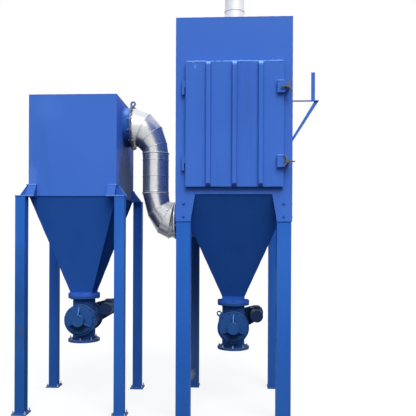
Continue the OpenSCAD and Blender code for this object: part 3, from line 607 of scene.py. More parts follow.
def ring_of_studs(centre: Vector, axis: Vector, radius: float, count: int, turn: float = 0.5) -> list[Stud]:
    """Studs on a circle, all with its axis.

    Args:
        centre: Middle of the circle, in the plane of the seats.
        axis: Which way the heads point.
        radius: Radius of the bolt circle.
        count: Number of studs.
        turn: Share of a pitch by which the first stud is turned.

    Returns:
        The studs.
    """
    first = UP if abs(axis.x) > 0.9 else RIGHT
    return [Stud(s.place, axis) for s in around(centre, first, axis.cross(first), radius, count, turn)]


def circle(centre: Vector, axis: Vector, radius: float, count: int = 48) -> Path:
    """The points of a circle about an axis."""
    return [s.place for s in ring_of_studs(centre, axis, radius, count, 0.0)]


def rectangle(x0: float, x1: float, y0: float, y1: float, z: float) -> Path:
    """The corners of a level rectangle."""
    return [Vector((x0, y0, z)), Vector((x1, y0, z)), Vector((x1, y1, z)), Vector((x0, y1, z))]


def square(centre: Vector, half: float) -> Path:
    """The corners of a level square round a point."""
    return rectangle(centre.x - half, centre.x + half, centre.y - half, centre.y + half, centre.z)


def sides(corners: Path) -> list[Path]:
    """The sides of a closed outline, one line each."""
    return [[corners[i], corners[(i + 1) % len(corners)]] for i in range(len(corners))]


def middle(node: str, z: float | None = None) -> Vector:
    """The middle of a node's box, or the point over or under it at a height.

    Args:
        node: Name of the node.
        z: The height, or None for the middle's own.

    Returns:
        The point.
    """
    low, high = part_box(node)
    centre = (low + high) / 2
    return centre if z is None else Vector((centre.x, centre.y, z))


# Height of the bearing boss on a valve's front cover
BOSS_H = 0.058


def cover_middle(valve: str) -> Vector:
    """The middle of a valve's front cover, on its drum's face."""
    centre = middle(f"{valve}_valve_covers")
    return Vector((centre.x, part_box(f"{valve}_valve_covers")[0].y + BOSS_H, centre.z))


# Finishes


@dataclass(frozen=True)
class Finish:
    """How a surface looks, which each kind of finish lays as nodes."""

    name: str

    def lay(self, tree: ShaderTree) -> None:
        """Lay the finish in a material's tree."""
        raise NotImplementedError

    def material(self) -> bpy.types.Material:
        """Make the finish's material.

        Returns:
            The material.
        """
        tree = ShaderTree(self.name)
        self.lay(tree)
        return tree.material


@dataclass(frozen=True)
class PaintFinish(Finish):
    """Sprayed enamel over plate: colour drift, streaks, dust, worn edges, orange peel, and painted shade in
    grimy hollows and on faces turned right; a pale edge colour paints highlights on edges.
    """

    colour: Triple
    faded: Triple
    roughness: float = 0.52
    waves: float = 0.004
    edge_radius: float = 0.003
    # Share of the edge colour on worn edges; a pale edge colour makes this a painted highlight
    wear_and_highlight: float = 0.35
    dust: float = 0.25
    # Strength of the painted shade, grimy in tint, in inner corners
    grime_and_hollow_shade: float = 0.5
    marks: tuple[Mark, ...] = ()
    # Colour of worn edges; a pale one paints a highlight along them
    wear_and_highlight_colour: Triple = (0.10, 0.14, 0.24)
    # Dark blue for dark streaks and soiled feet, and for painted shade on faces turned right, in hollows and
    # under the outlet spigot
    soil_and_shade: Triple = (0.012, 0.022, 0.06)
    dust_colour: Triple = (0.42, 0.42, 0.40)
    gloss: float = 0.12
    foot_dirt: float = 0.0
    foot_reach: float = 1.5
    # Share of painted shade on faces turned towards +X
    right_face_shade: float = 0.0

    def lay(self, tree: ShaderTree) -> None:
        """Lay the enamel, its soiling and worn edges, its painted shade and painted edge highlights, and its
        relief.

        Args:
            tree: The material's tree.
        """
        drift = tree.noise(0.8, 2.0, 3.0)
        streaks = tree.noise(2.6, 3.0, 7.0, stretch=(2.2, 2.2, 0.22))
        speck = tree.noise(34.0, 4.0, 11.0)
        low = tree.ramp(tree.part(tree.place, "Z"), self.foot_reach, 0.0, 0.0, self.foot_dirt)
        # Painted shade: faces turned towards +X are darkened
        right_face_darkening = tree.math("MULTIPLY", tree.facing("X", 0.35, 0.6), self.right_face_shade)
        # Painted shade in hollows: ambient occlusion darkens inner corners, broken up by speckle like grimy
        # deposits
        hollow_grime_and_shade = tree.math("MULTIPLY", tree.hollows(0.05, self.grime_and_hollow_shade, 0.25), tree.ramp(speck, 0.3, 0.7))
        dusty = tree.math("MULTIPLY", tree.facing("Z", 0.35, 0.9), tree.ramp(speck, 0.35, 0.75, 0.2, 1.0))
        rounded = tree.rounded_edges(self.edge_radius)
        colour = tree.layered(
            self.colour,
            (tree.ramp(drift, 0.30, 0.72), self.faded),
            (tree.ramp(streaks, 0.52, 0.80, 0.0, 0.22), self.faded),
            (tree.ramp(streaks, 0.46, 0.22, 0.0, 0.16), self.soil_and_shade),
            (low, self.soil_and_shade),
            (right_face_darkening, self.soil_and_shade),
            (hollow_grime_and_shade, self.soil_and_shade),
            (tree.math("MULTIPLY", dusty, self.dust), self.dust_colour),
            # Worn edges, which a pale edge colour turns into a painted highlight
            (tree.math("MULTIPLY", tree.edge_mask(rounded, speck), self.wear_and_highlight), self.wear_and_highlight_colour),
        )
        rough = tree.ramp(speck, 0.3, 0.7, self.roughness - 0.05, self.roughness + 0.08)
        colour, rough = tree.marked(self.marks, colour, rough)
        normal = tree.bump(tree.noise(1.7, 1.0, 19.0), self.waves, Normal=rounded)
        normal = tree.bump(tree.noise(260.0, 1.0, 23.0), 0.00012, Normal=normal)
        tree.shade(Base_Color=colour, Roughness=rough, Normal=normal, Specular_IOR_Level=self.gloss)


@dataclass(frozen=True)
class ZincFinish(Finish):
    """Galvanised sheet: spangle, drawn streaks, dull patches, a faint brown bloom, bleached tops, and painted
    shade on its undersides and in its hollows.
    """

    light: Triple = (0.80, 0.81, 0.80)
    dull: Triple = (0.58, 0.59, 0.59)
    bloom: Triple = (0.50, 0.44, 0.37)
    # Dark grey painted as shade on surfaces facing down
    underside_shade: Triple = (0.10, 0.112, 0.13)
    # Dark grey for the painted shade, sooty in tint, in hollows
    hollow_soot_and_shade: Triple = (0.10, 0.10, 0.10)
    bleached: Triple = (0.68, 0.69, 0.69)
    metallic: float = 0.92
    matt: float = 0.30
    roughness: float = 0.30
    marks: tuple[Mark, ...] = ()

    def lay(self, tree: ShaderTree) -> None:
        """Lay the sheet's spangle, its weathering, its painted shade and its dents.

        Args:
            tree: The material's tree.
        """
        cells = tree.node("ShaderNodeTexVoronoi", Vector=tree.place, Scale=55.0, Randomness=1.0)
        tone = tree.node("ShaderNodeSeparateColor", Color=cells.outputs["Color"]).outputs["Red"]
        cloud = tree.noise(5.0, 4.0, 2.0)
        drawn = tree.noise(14.0, 3.0, 5.0, stretch=(4.0, 4.0, 0.35))
        weathered = tree.facing("Z", 0.24, 0.42)
        colour = tree.layered(
            self.light,
            (tree.ramp(tone, 0.0, 1.0, 0.0, 0.34), self.dull),
            (tree.ramp(cloud, 0.42, 0.7, 0.0, 0.5), self.dull),
            (tree.ramp(drawn, 0.5, 0.8, 0.0, 0.35), self.dull),
            (tree.ramp(tree.noise(2.4, 4.0, 9.0), 0.56, 0.74, 0.0, 0.28), self.bloom),
            # Painted shade: surfaces facing down are darkened
            (tree.math("MULTIPLY", tree.facing("Z", -0.05, -0.75), 0.75), self.underside_shade),
            # Painted shade, sooty in tint, in inner corners found by ambient occlusion
            (tree.hollows(0.03, 0.35), self.hollow_soot_and_shade),
            (weathered, self.bleached),
        )
        rough = tree.ramp(tone, 0.0, 1.0, self.roughness - 0.03, self.roughness + 0.04)
        colour, rough = tree.marked(self.marks, colour, rough)
        normal = tree.bump(tree.noise(9.0, 2.0, 13.0), 0.0015)
        normal = tree.bump(tree.noise(90.0, 2.0, 17.0), 0.00004, Normal=normal)
        metal = tree.math("MULTIPLY", tree.math("SUBTRACT", 1.0, weathered), self.metallic - self.matt)
        metal = tree.math("ADD", metal, self.matt)
        tree.shade(Base_Color=colour, Roughness=rough, Normal=normal, Metallic=metal)


@dataclass(frozen=True)
class BareFinish(Finish):
    """Bare or plated metal: cast or turned, with stains."""

    colour: Triple
    stain: Triple
    metallic: float = 0.9
    roughness: float = 0.42
    stained: float = 0.5

    def lay(self, tree: ShaderTree) -> None:
        """Lay the metal, its stains and its fine grain.

        Args:
            tree: The material's tree.
        """
        fine = tree.noise(220.0, 2.0, 6.0)
        colour = tree.layered(
            self.colour,
            (tree.ramp(tree.noise(38.0, 4.0, 4.0), 0.42, 0.66, 0.0, self.stained), self.stain),
            (tree.hollows(0.02, 0.6), self.stain),
        )
        rough = tree.ramp(fine, 0.3, 0.7, self.roughness - 0.08, self.roughness + 0.1)
        normal = tree.bump(fine, 0.0003, Normal=tree.rounded_edges(0.0015))
        tree.shade(Base_Color=colour, Roughness=rough, Normal=normal, Metallic=self.metallic)


@dataclass(frozen=True)
class RubberFinish(Finish):
    """Matt black rubber with a fine grain."""

    colour: Triple = (0.018, 0.018, 0.02)
    dusted: Triple = (0.06, 0.06, 0.058)

    def lay(self, tree: ShaderTree) -> None:
        """Lay the rubber and the dust in its grain.

        Args:
            tree: The material's tree.
        """
        dust = tree.ramp(tree.noise(20.0, 3.0, 0.0), 0.4, 0.7, 0.0, 0.5)
        colour = tree.layered(self.colour, (dust, self.dusted))
        normal = tree.bump(tree.noise(300.0, 2.0, 0.0), 0.0003)
        tree.shade(Base_Color=colour, Normal=normal, Roughness=0.75)


# The workshop: what every sub-assembly uses


@dataclass
class Workshop:
    """The frame's nodes, the finishes and the trees, with the calls that dress and add pieces."""

    nodes: dict[str, bpy.types.Object]
    finishes: dict[Slot | Special, bpy.types.Material]
    bolts: ShapeTree = field(default_factory=bolt_tree)
    rivets: ShapeTree = field(default_factory=rivet_tree)
    welds: ShapeTree = field(default_factory=lambda: bead_tree("weld_runs", 6, 0.34))
    seams: ShapeTree = field(default_factory=lambda: bead_tree("sheet_seams", 8, 0.0))
    softener: ShapeTree = field(default_factory=softening_tree)

    def dress(
        self, node: str, slot: Slot, bevel: float = 0.0, finish: Special | None = None, crease: float = 30.0
    ) -> None:
        """Give a solid of the frame its finish, and round its edges if asked.

        Args:
            node: Name of the node.
            slot: Its material slot.
            bevel: Width of the rounded edges, in metres, or 0 for none.
            finish: A special finish instead of the slot's.
            crease: Angle in degrees above which an edge is shaded sharp.
        """
        piece = self.nodes[node]
        piece.data.materials.clear()
        piece.data.materials.append(self.finishes[finish or slot])
        shading = piece.modifiers.new("shading", "NODES")
        shading.node_group = self.softener.tree
        shading[self.softener.keys["Crease"]] = math.radians(crease)
        if bevel > 0:
            rounding = piece.modifiers.new("rounded_edges", "BEVEL")
            rounding.width = bevel
            rounding.segments = 2
            rounding.limit_method = "ANGLE"
            rounding.angle_limit = math.radians(35)
            rounding.harden_normals = True
        log.info("dressed %s in %s", node, slot.value)

    def add(
        self,
        tree: ShapeTree,
        seeds: bpy.types.Mesh,
        name: str,
        slot: Slot,
        finish: Special | None = None,
        body: str = "root",
        **sizes: float,
    ) -> None:
        """Grow a piece that rides on a body and takes its finish from a slot.

        Args:
            tree: The tree that makes it.
            seeds: The points or lines that it grows on.
            name: Name of the piece.
            slot: Its material slot.
            finish: A special finish instead of the slot's.
            body: The body that carries it.
            **sizes: Values for the tree's named sizes.
        """
        piece = tree.grow(name, seeds, self.finishes[finish or slot], **sizes)
        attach(piece, body)
        log.info("added %s on %s, %d faces", name, body, len(piece.data.polygons))

    def bolt(
        self,
        name: str,
        studs: list[Stud],
        head: float,
        slot: Slot = Slot.ZINC,
        reach: float = 0.0,
        finish: Special | None = None,
    ) -> None:
        """Hexagon bolts or nuts on their seats.

        Args:
            name: Name of the piece.
            studs: Seats and axes.
            head: Radius over the hexagon's corners.
            slot: Slot of their finish.
            reach: How far the stud's end stands above the seat, or 0 for a plain head.
            finish: A special finish instead of the slot's.
        """
        seats = stud_mesh(name + "_seats", studs)
        sizes = {"Head": head, "Height": head * 0.78, "Stud": head * 0.54, "Reach": max(reach, head * 0.76)}
        self.add(self.bolts, seats, name, slot, finish, **sizes)

    def rivet(self, name: str, studs: list[Stud], radius: float) -> None:
        """Blind rivets on their seats, of zinc."""
        seats = stud_mesh(name + "_seats", studs)
        self.add(self.rivets, seats, name, Slot.ZINC, Radius=radius, Height=radius * 0.5)

    def weld(
        self,
        name: str,
        paths: list[Path],
        radius: float,
        slot: Slot = Slot.VESSEL,
        finish: Special | None = None,
        body: str = "root",
        closed: bool = False,
    ) -> None:
        """Weld runs along lines, painted with what they join.

        Args:
            name: Name of the piece.
            paths: The lines.
            radius: Radius of the bead.
            slot: Slot of their finish.
            finish: A special finish instead of the slot's.
            body: The body that carries them.
            closed: Whether each line returns to its start.
        """
        lines = path_mesh(name + "_lines", paths, closed)
        self.add(self.welds, lines, name, slot, finish, body, Radius=radius, Step=radius * 2.6)

    def seam(
        self, name: str, paths: list[Path], radius: float, closed: bool = True, finish: Special | None = None
    ) -> None:
        """Smooth raised seams along lines, of zinc.

        Args:
            name: Name of the piece.
            paths: The lines.
            radius: Radius of the seam.
            closed: Whether each line returns to its start.
            finish: A special finish instead of the slot's.
        """
        lines = path_mesh(name + "_lines", paths, closed)
        self.add(self.seams, lines, name, Slot.ZINC, finish, Radius=radius, Step=0.02)


# Sub-assemblies

# Share of an edge bead's radius by which its middle lies inside the metal; the beads are worn enamel with a
# painted highlight
SUNK = 0.4


@dataclass
class Vessel:
    """One box with its hopper and legs, measured from the frame."""

    shop: Workshop
    name: str
    plate: float = 0.006
    neck: float = 0.205
    flange_t: float = 0.022
    neck_h: float = 0.016
    weld: float = 0.0035
    foot_t: float = 0.012
    leg_half: float = 0.044
    leg_bevel: float = 0.006
    legs_welded_on_top: bool = True

    def __post_init__(self) -> None:
        """Measure the box, the hopper and the legs."""
        low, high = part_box(f"{self.name}_roof")
        self.x0, self.y0 = low.x, low.y
        self.x1, self.y1, self.top = high.x, high.y, high.z
        self.mid = middle(f"{self.name}_roof", 0.0)
        self.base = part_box(f"{self.name}_left_wall")[0].z
        self.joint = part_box(f"{self.name}_hopper")[0].z
        corners = [f"{depth}_{side}" for depth in ("front", "back") for side in ("left", "right")]
        self.legs = [f"{self.name}_leg_{corner}" for corner in corners]

    def corner(self, sx: int, sy: int, z: float, inset: float = 0.0) -> Vector:
        """One upright corner of the box, by its signs along X and Y, at a height."""
        x = self.x0 + inset if sx < 0 else self.x1 - inset
        return Vector((x, self.y0 + inset if sy < 0 else self.y1 - inset, z))

    def outline(self, z: float, inset: float) -> list[Path]:
        """The sides of the box's outline at a height, drawn in by an inset."""
        return sides(rectangle(self.x0 + inset, self.x1 - inset, self.y0 + inset, self.y1 - inset, z))

    def dress_and_weld(self, *plates: str) -> None:
        """Give the box, the hopper and the legs their finishes and their welds.

        Args:
            *plates: Nodes painted as the box is, without the vessel's name.
        """
        for plate in plates:
            self.shop.dress(f"{self.name}_{plate}", Slot.VESSEL)
        self.shop.dress(f"{self.name}_hopper", Slot.VESSEL, finish=Special.SHADED_HOPPER, crease=17.0)
        for leg in self.legs:
            self.shop.dress(leg, Slot.FRAME, self.leg_bevel)
        self.hopper_welds()
        self.box_welds()
        self.leg_welds()

    def hopper_welds(self) -> None:
        """Weld the hopper's corners, its neck and the seam under the box."""
        half = self.neck / 2
        seat = self.joint + self.flange_t
        runs: list[Path] = []
        for sx, sy in CORNERS:
            foot = self.mid + Vector((sx * half, sy * half, seat))
            bend = foot + UP * self.neck_h
            runs += [[self.corner(sx, sy, self.base, self.plate), bend], [bend, foot]]
        runs += self.outline(self.base, self.plate) + sides(square(self.mid + UP * seat, half))
        self.shop.weld(f"{self.name}_hopper_welds", runs, self.weld, finish=Special.SHADED_HOPPER)

    def box_welds(self) -> None:
        """Weld the upright corners of the box and the rim of its roof, ground nearly flush."""
        inset = self.weld * 0.35
        low, high = self.base + 0.004, self.top - 0.004
        runs = [[self.corner(sx, sy, low, inset), self.corner(sx, sy, high, inset)] for sx, sy in CORNERS]
        runs += self.outline(self.top - inset, inset)
        self.shop.weld(f"{self.name}_box_seams", runs, self.weld * 0.6)

    def leg_welds(self) -> None:
        """Weld each leg to its foot plate, and to the bracket over it if there is one."""
        runs: list[Path] = []
        for leg in self.legs:
            ends = (self.foot_t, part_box(leg)[1].z) if self.legs_welded_on_top else (self.foot_t,)
            for z in ends:
                runs += sides(square(middle(leg, z), self.leg_half))
        self.shop.weld(f"{self.name}_leg_welds", runs, self.weld, Slot.FRAME)


@dataclass
class Separator(Vessel):
    """The lower box on the left, on legs outside its corners."""

    anchor_head: float = 0.0095
    anchor_reach: float = 0.026
    anchor_span: float = 0.110
    bracket_t: float = 0.008
    bracket_run: float = 0.076
    edge_bead_r: float = 0.0045
    spigot_r: float = 0.189
    rim_t: float = 0.008
    inlet_pcd_r: float = 0.201

    def build(self) -> None:
        """Dress and detail the whole separator."""
        self.dress_and_weld("front_wall", "back_wall", "left_wall", "right_wall", "roof", "inlet_spigot")
        self.shop.dress("separator_outlet_spigot", Slot.VESSEL, finish=Special.OUTLET)
        self.shop.dress("separator_corner_brackets", Slot.FRAME, 0.0015, Special.BRACKET)
        self.bracket_welds()
        self.bracket_edges()
        self.spigot_welds()
        self.anchors()
        self.inlet_bolts()

    def bracket_welds(self) -> None:
        """Weld the corner brackets to the box."""
        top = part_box("separator_corner_brackets")[1].z - self.bracket_t
        along = [(self.corner(sx, sy, 0.0), -sx * RIGHT) for sx, sy in CORNERS]
        across = [(self.corner(sx, sy, 0.0), -sy * BACK) for sy, sx in CORNERS]
        runs: list[Path] = []
        for corner, inward in along + across:
            for z in (self.base, top):
                start = corner + UP * z
                runs.append([start, start + inward * self.bracket_run])
        self.shop.weld("separator_bracket_welds", runs, self.weld, Slot.FRAME)

    def bracket_edges(self) -> None:
        """The front edges of the front brackets and of their shelves, worn, and pale with a painted
        highlight.
        """
        low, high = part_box("separator_corner_brackets")
        lip = 2 * self.bracket_t
        sunk = self.edge_bead_r * SUNK
        edges: list[Path] = []
        for sx, x in ((1, self.x0), (-1, self.x1)):
            for y, past, z in ((self.y0 - lip, lip, high.z), (low.y, self.x0 - low.x, self.base)):
                outer = Vector((x - sx * past, y + sunk, z - sunk))
                edges.append([outer, Vector((x + sx * self.bracket_run, y + sunk, z - sunk))])
        self.shop.weld("separator_bracket_edges", edges, self.edge_bead_r, Slot.FRAME, Special.WORN_HIGHLIT)

    def spigot_welds(self) -> None:
        """Weld both spigots to the box."""
        z = middle("separator_inlet_spigot").z
        rings = [circle(Vector((x, self.mid.y, z)), RIGHT, self.spigot_r) for x in (self.x0, self.x1)]
        self.shop.weld("separator_spigot_welds", rings, self.weld * 1.2, closed=True)

    def anchors(self) -> None:
        """Anchor bolts through the holes of every foot plate."""
        half = self.anchor_span / 2
        studs = [Stud(hole, UP) for leg in self.legs for hole in square(middle(leg, self.foot_t), half)]
        self.shop.bolt(
            "separator_anchor_bolts", studs, self.anchor_head, reach=self.anchor_reach, finish=Special.PLATED
        )

    def inlet_bolts(self) -> None:
        """Bolts left in the open inlet flange."""
        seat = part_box("separator_inlet_spigot")[0].x + self.rim_t
        centre = Vector((seat, self.mid.y, middle("separator_inlet_spigot").z))
        studs = ring_of_studs(centre, RIGHT, self.inlet_pcd_r, 12)
        self.shop.bolt("separator_inlet_nuts", studs, 0.0085, finish=Special.PLATED)


@dataclass
class FilterHousing(Vessel):
    """The tall box on the right, on legs clasped by skirt plates."""

    neck_h: float = 0.044
    leg_half: float = 0.061
    leg_bevel: float = 0.008
    legs_welded_on_top: bool = False
    skirt_bolt_in: float = 0.070
    skirt_bolt_drops: tuple[float, float] = (0.078, 0.188)
    stub_r: float = 0.0925
    stub_rim_t: float = 0.006
    stub_pcd_r: float = 0.1085
    stub_lap_h: float = 0.304

    def build(self) -> None:
        """Dress and detail the housing without its door."""
        fronts = [f"front_{part}" for part in ("top", "bottom", "left", "right")]
        walls = [f"{side}_wall" for side in ("left", "right", "back")]
        self.dress_and_weld(*fronts, *walls, "roof", "inlet_spigot", "corner_skirts")
        self.shop.dress("filter_roof_outlet", Slot.ZINC, finish=Special.STUB)
        self.shop.dress("side_bracket", Slot.VESSEL, 0.001)
        self.skirt_bolts()
        self.roof_outlet_bolts()

    def skirt_bolts(self) -> None:
        """Two bolts in every skirt plate."""
        studs: list[Stud] = []
        for drop in self.skirt_bolt_drops:
            for sx, sy in CORNERS:
                corner = self.corner(sx, sy, self.base - drop)
                studs.append(Stud(corner - sx * self.skirt_bolt_in * RIGHT, sy * BACK))
                studs.append(Stud(corner - sy * self.skirt_bolt_in * BACK, sx * RIGHT))
        self.shop.bolt("filter_skirt_bolts", studs, 0.0105, Slot.FRAME)

    def roof_outlet_bolts(self) -> None:
        """Bolts of the stub's two flanges, and its lap rivets."""
        centre = middle("filter_roof_outlet", self.top)
        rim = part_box("filter_roof_outlet")[1].z - self.stub_rim_t
        roof = ring_of_studs(centre + UP * self.stub_rim_t, UP, self.stub_pcd_r, 8)
        under = ring_of_studs(middle("filter_roof_outlet", rim), -UP, self.stub_pcd_r, 8)
        self.shop.bolt("roof_outlet_bolts", roof + under, 0.0075, finish=Special.PLATED)
        lap = around(centre + UP * self.stub_lap_h, RIGHT, BACK, self.stub_r, 10)
        self.shop.rivet("roof_outlet_rivets", lap, 0.004)


@dataclass
class RotaryValve:
    """A valve under a hopper: casing, covers, rotor and chain drive."""

    shop: Workshop
    name: str
    pcd_r: float = 0.133
    flange_t: float = 0.022
    cover_bolts: int = 12
    cover_pcd_r: float = 0.138
    cover_face: float = 0.160
    boss_r: float = 0.054
    drum_r: float = 0.120
    rib_rise: float = 0.8
    rib_toe: float = 0.003
    edge_bead_r: float = 0.0035

    def build(self) -> None:
        """Dress and detail the valve."""
        pieces = {"casing": Slot.VALVE, "covers": Slot.VALVE, "rotor": Slot.ROTOR, "drive": Slot.DRIVE}
        for piece, slot in pieces.items():
            self.shop.dress(f"{self.name}_valve_{piece}", slot)
        self.flange_bolts()
        self.cover_screws()
        self.highlit_rib_edge()

    def flange_ring(self, z: float, axis: Vector) -> list[Stud]:
        """The bolts of one flange."""
        return ring_of_studs(middle(f"{self.name}_valve_casing", z), axis, self.pcd_r, 8, 0.0)

    def flange_bolts(self) -> None:
        """Bolts through the joint under the hopper, and those standing in the outlet flange."""
        low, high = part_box(f"{self.name}_valve_casing")
        joint = self.flange_ring(high.z + self.flange_t, UP) + self.flange_ring(high.z - self.flange_t, -UP)
        self.shop.bolt(f"{self.name}_valve_inlet_bolts", joint, 0.011, Slot.VALVE)
        outlet = self.flange_ring(low.z + self.flange_t, UP)
        self.shop.bolt(f"{self.name}_valve_outlet_bolts", outlet, 0.0095, reach=0.024, finish=Special.PLATED)

    def cover_screws(self) -> None:
        """Screws round both end covers."""
        studs: list[Stud] = []
        for sy in (-1, 1):
            face = middle(f"{self.name}_valve_casing") + sy * self.cover_face * BACK
            studs += ring_of_studs(face, sy * BACK, self.cover_pcd_r, self.cover_bolts)
        self.shop.bolt(f"{self.name}_valve_cover_screws", studs, 0.0075, Slot.VALVE)

    def highlit_rib_edge(self) -> None:
        """The top rib's sloped edge on the front cover, worn, and pale with a painted highlight."""
        face = cover_middle(self.name)
        inner = face + Vector((0, -self.rib_rise * BOSS_H, self.boss_r))
        outer = face + Vector((0, -self.rib_toe, self.drum_r))
        self.shop.weld(f"{self.name}_valve_rib_edge", [[inner, outer]], self.edge_bead_r, Slot.VALVE, Special.WORN_HIGHLIT)


@dataclass
class Duct:
    """The gored duct between the vessels, whose seams are given by their angle in degrees and radius."""

    shop: Workshop
    seam_r: float = 0.0032
    bead_r: float = 0.0062
    riser_r: float = 0.125
    upper_rim: float = 0.214
    lower_rim: float = 0.176
    upper_pcd_r: float = 0.201
    lower_pcd_r: float = 0.163
    rim_t: float = 0.008
    start_in: float = 0.006
    rivet_in: float = 0.014
    upper_seams: tuple = ((25.5, 0.1691), (49.0, 0.1477), (72.0, 0.125))
    lower_seams: tuple = ((10.0, 0.175), (28.0, 0.165), (56.0, 0.125))
    upper_bead: tuple = ((84.5, 0.126),)
    facets: int = 72

    def build(self) -> None:
        """Dress the duct and add its seams, rivets and bolts."""
        self.shop.dress("duct_upper_elbow", Slot.ZINC, finish=Special.ELBOW, crease=14.0)
        for node in ("duct_riser", "duct_lower_elbow"):
            self.shop.dress(node, Slot.ZINC, crease=14.0)
        low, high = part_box("duct_riser")
        self.foot, self.head = middle("duct_riser", low.z), middle("duct_riser", high.z)
        upper_low, upper_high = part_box("duct_upper_elbow")
        lower_low, lower_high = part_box("duct_lower_elbow")
        self.entry = Vector((upper_low.x, self.head.y, upper_high.z - self.upper_rim))
        self.outlet = Vector((lower_high.x, self.foot.y, lower_low.z + self.lower_rim))
        self.seams()
        self.bolts()

    def elbow_path(self, start: Vector, end: Vector, seams: tuple) -> list[tuple[Vector, Vector, float]]:
        """The gore seams of an elbow.

        Args:
            start: Middle of its flanged end.
            end: Middle of its upright end, on the riser.
            seams: Angle in degrees and radius of each seam.

        Returns:
            Centre, axis and radius of each seam.
        """
        side = 1 if end.x > start.x else -1
        rise = -1 if end.z < start.z else 1
        found = []
        for degrees, radius in seams:
            sine, cosine = math.sin(math.radians(degrees)), math.cos(math.radians(degrees))
            x = start.x + (end.x - start.x) * sine
            z = start.z + (end.z - start.z) * (1 - cosine)
            found.append((Vector((x, end.y, z)), Vector((side * cosine, 0, rise * sine)), radius))
        return found

    def seams(self) -> None:
        """Raised gore seams, the laps at the riser's ends and rivets beside them."""
        upper = self.entry + RIGHT * self.start_in
        gores = self.elbow_path(upper, self.head, self.upper_seams)
        gores += self.elbow_path(self.outlet - RIGHT * self.start_in, self.foot, self.lower_seams)
        rings: list[Path] = []
        for centre, axis, radius in gores:
            rings.append([s.place for s in around(centre, axis.cross(BACK), BACK, radius, self.facets)])
        rivets: list[Stud] = []
        for end, inward in ((self.foot, UP), (self.head, -UP)):
            rings.append(circle(end, UP, self.riser_r, self.facets))
            rivets += around(end + inward * self.rivet_in, RIGHT, BACK, self.riser_r, 12, 0.5)
        self.shop.seam("duct_gore_seams", rings, self.seam_r)
        beads = [circle(self.foot, UP, self.riser_r, self.facets)]
        beads += [circle(*bead, self.facets) for bead in self.elbow_path(upper, self.head, self.upper_bead)]
        self.shop.seam("duct_rolled_beads", beads, self.bead_r, finish=Special.STUB)
        self.shop.rivet("duct_rivets", rivets, 0.0045)
        back = BACK * self.riser_r
        lock = [[self.foot + back + UP * 0.01, self.head + back - UP * 0.01]]
        self.shop.seam("duct_lock_seam", lock, 0.003, closed=False)

    def bolts(self) -> None:
        """Bolts and nuts of both duct flanges."""
        grip = RIGHT * self.rim_t
        studs = ring_of_studs(self.entry - grip, -RIGHT, self.upper_pcd_r, 12)
        studs += ring_of_studs(self.outlet + grip, RIGHT, self.lower_pcd_r, 12)
        studs += ring_of_studs(self.entry + grip, RIGHT, self.upper_pcd_r, 12)
        studs += ring_of_studs(self.outlet - grip, -RIGHT, self.lower_pcd_r, 12)
        self.shop.bolt("duct_flange_bolts", studs, 0.0085, reach=0.015, finish=Special.PLATED)


@dataclass
class Door:
    """The ribbed door with its hinges, seal and screw clamps."""

    shop: Workshop
    fold_r: float = 0.008
    lug_edge_r: float = 0.005
    lug_run: float = 0.054
    lug_h: float = 0.100

    def build(self) -> None:
        """Dress and detail the door and its clamps."""
        self.folded_edge()
        self.lug_edges()
        self.shop.dress("door_panel", Slot.VESSEL, 0.009, Special.DOOR)
        self.shop.dress("door_ribs", Slot.VESSEL, 0.006, Special.RIBS)
        self.shop.dress("door_seal", Slot.SEAL)
        self.shop.dress("door_clamp_lugs", Slot.VESSEL, 0.004, Special.DOOR)
        for node in ("door_hinge_sleeves", "door_hinge_pintles", "clamp_anchors"):
            self.shop.dress(node, Slot.VESSEL)
        for node in ("clamp_knob_lower", "clamp_knob_upper"):
            self.shop.dress(node, Slot.KNOB)

    def folded_edge(self) -> None:
        """The rounded fold along the door's top, where the enamel has worn pale, with a painted highlight."""
        low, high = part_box("door_panel")
        y, z = low.y + self.fold_r * 0.7, high.z - self.fold_r * 0.7
        fold = [Vector((low.x + self.fold_r, y, z)), Vector((high.x - self.fold_r, y, z))]
        self.shop.weld("door_folded_edge", [fold], self.fold_r, finish=Special.WORN_HIGHLIT, body="door")

    def lug_edges(self) -> None:
        """The top edges of both clamp lugs, worn and highlighted in paint as the fold is."""
        low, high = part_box("door_clamp_lugs")
        sunk = self.lug_edge_r * SUNK
        tops: list[Path] = []
        for z in (low.z + self.lug_h, high.z):
            start = Vector((low.x, low.y + sunk, z - sunk))
            tops.append([start, start + RIGHT * self.lug_run])
        self.shop.weld("clamp_lug_edges", tops, self.lug_edge_r, finish=Special.WORN_HIGHLIT, body="door")


# The studio


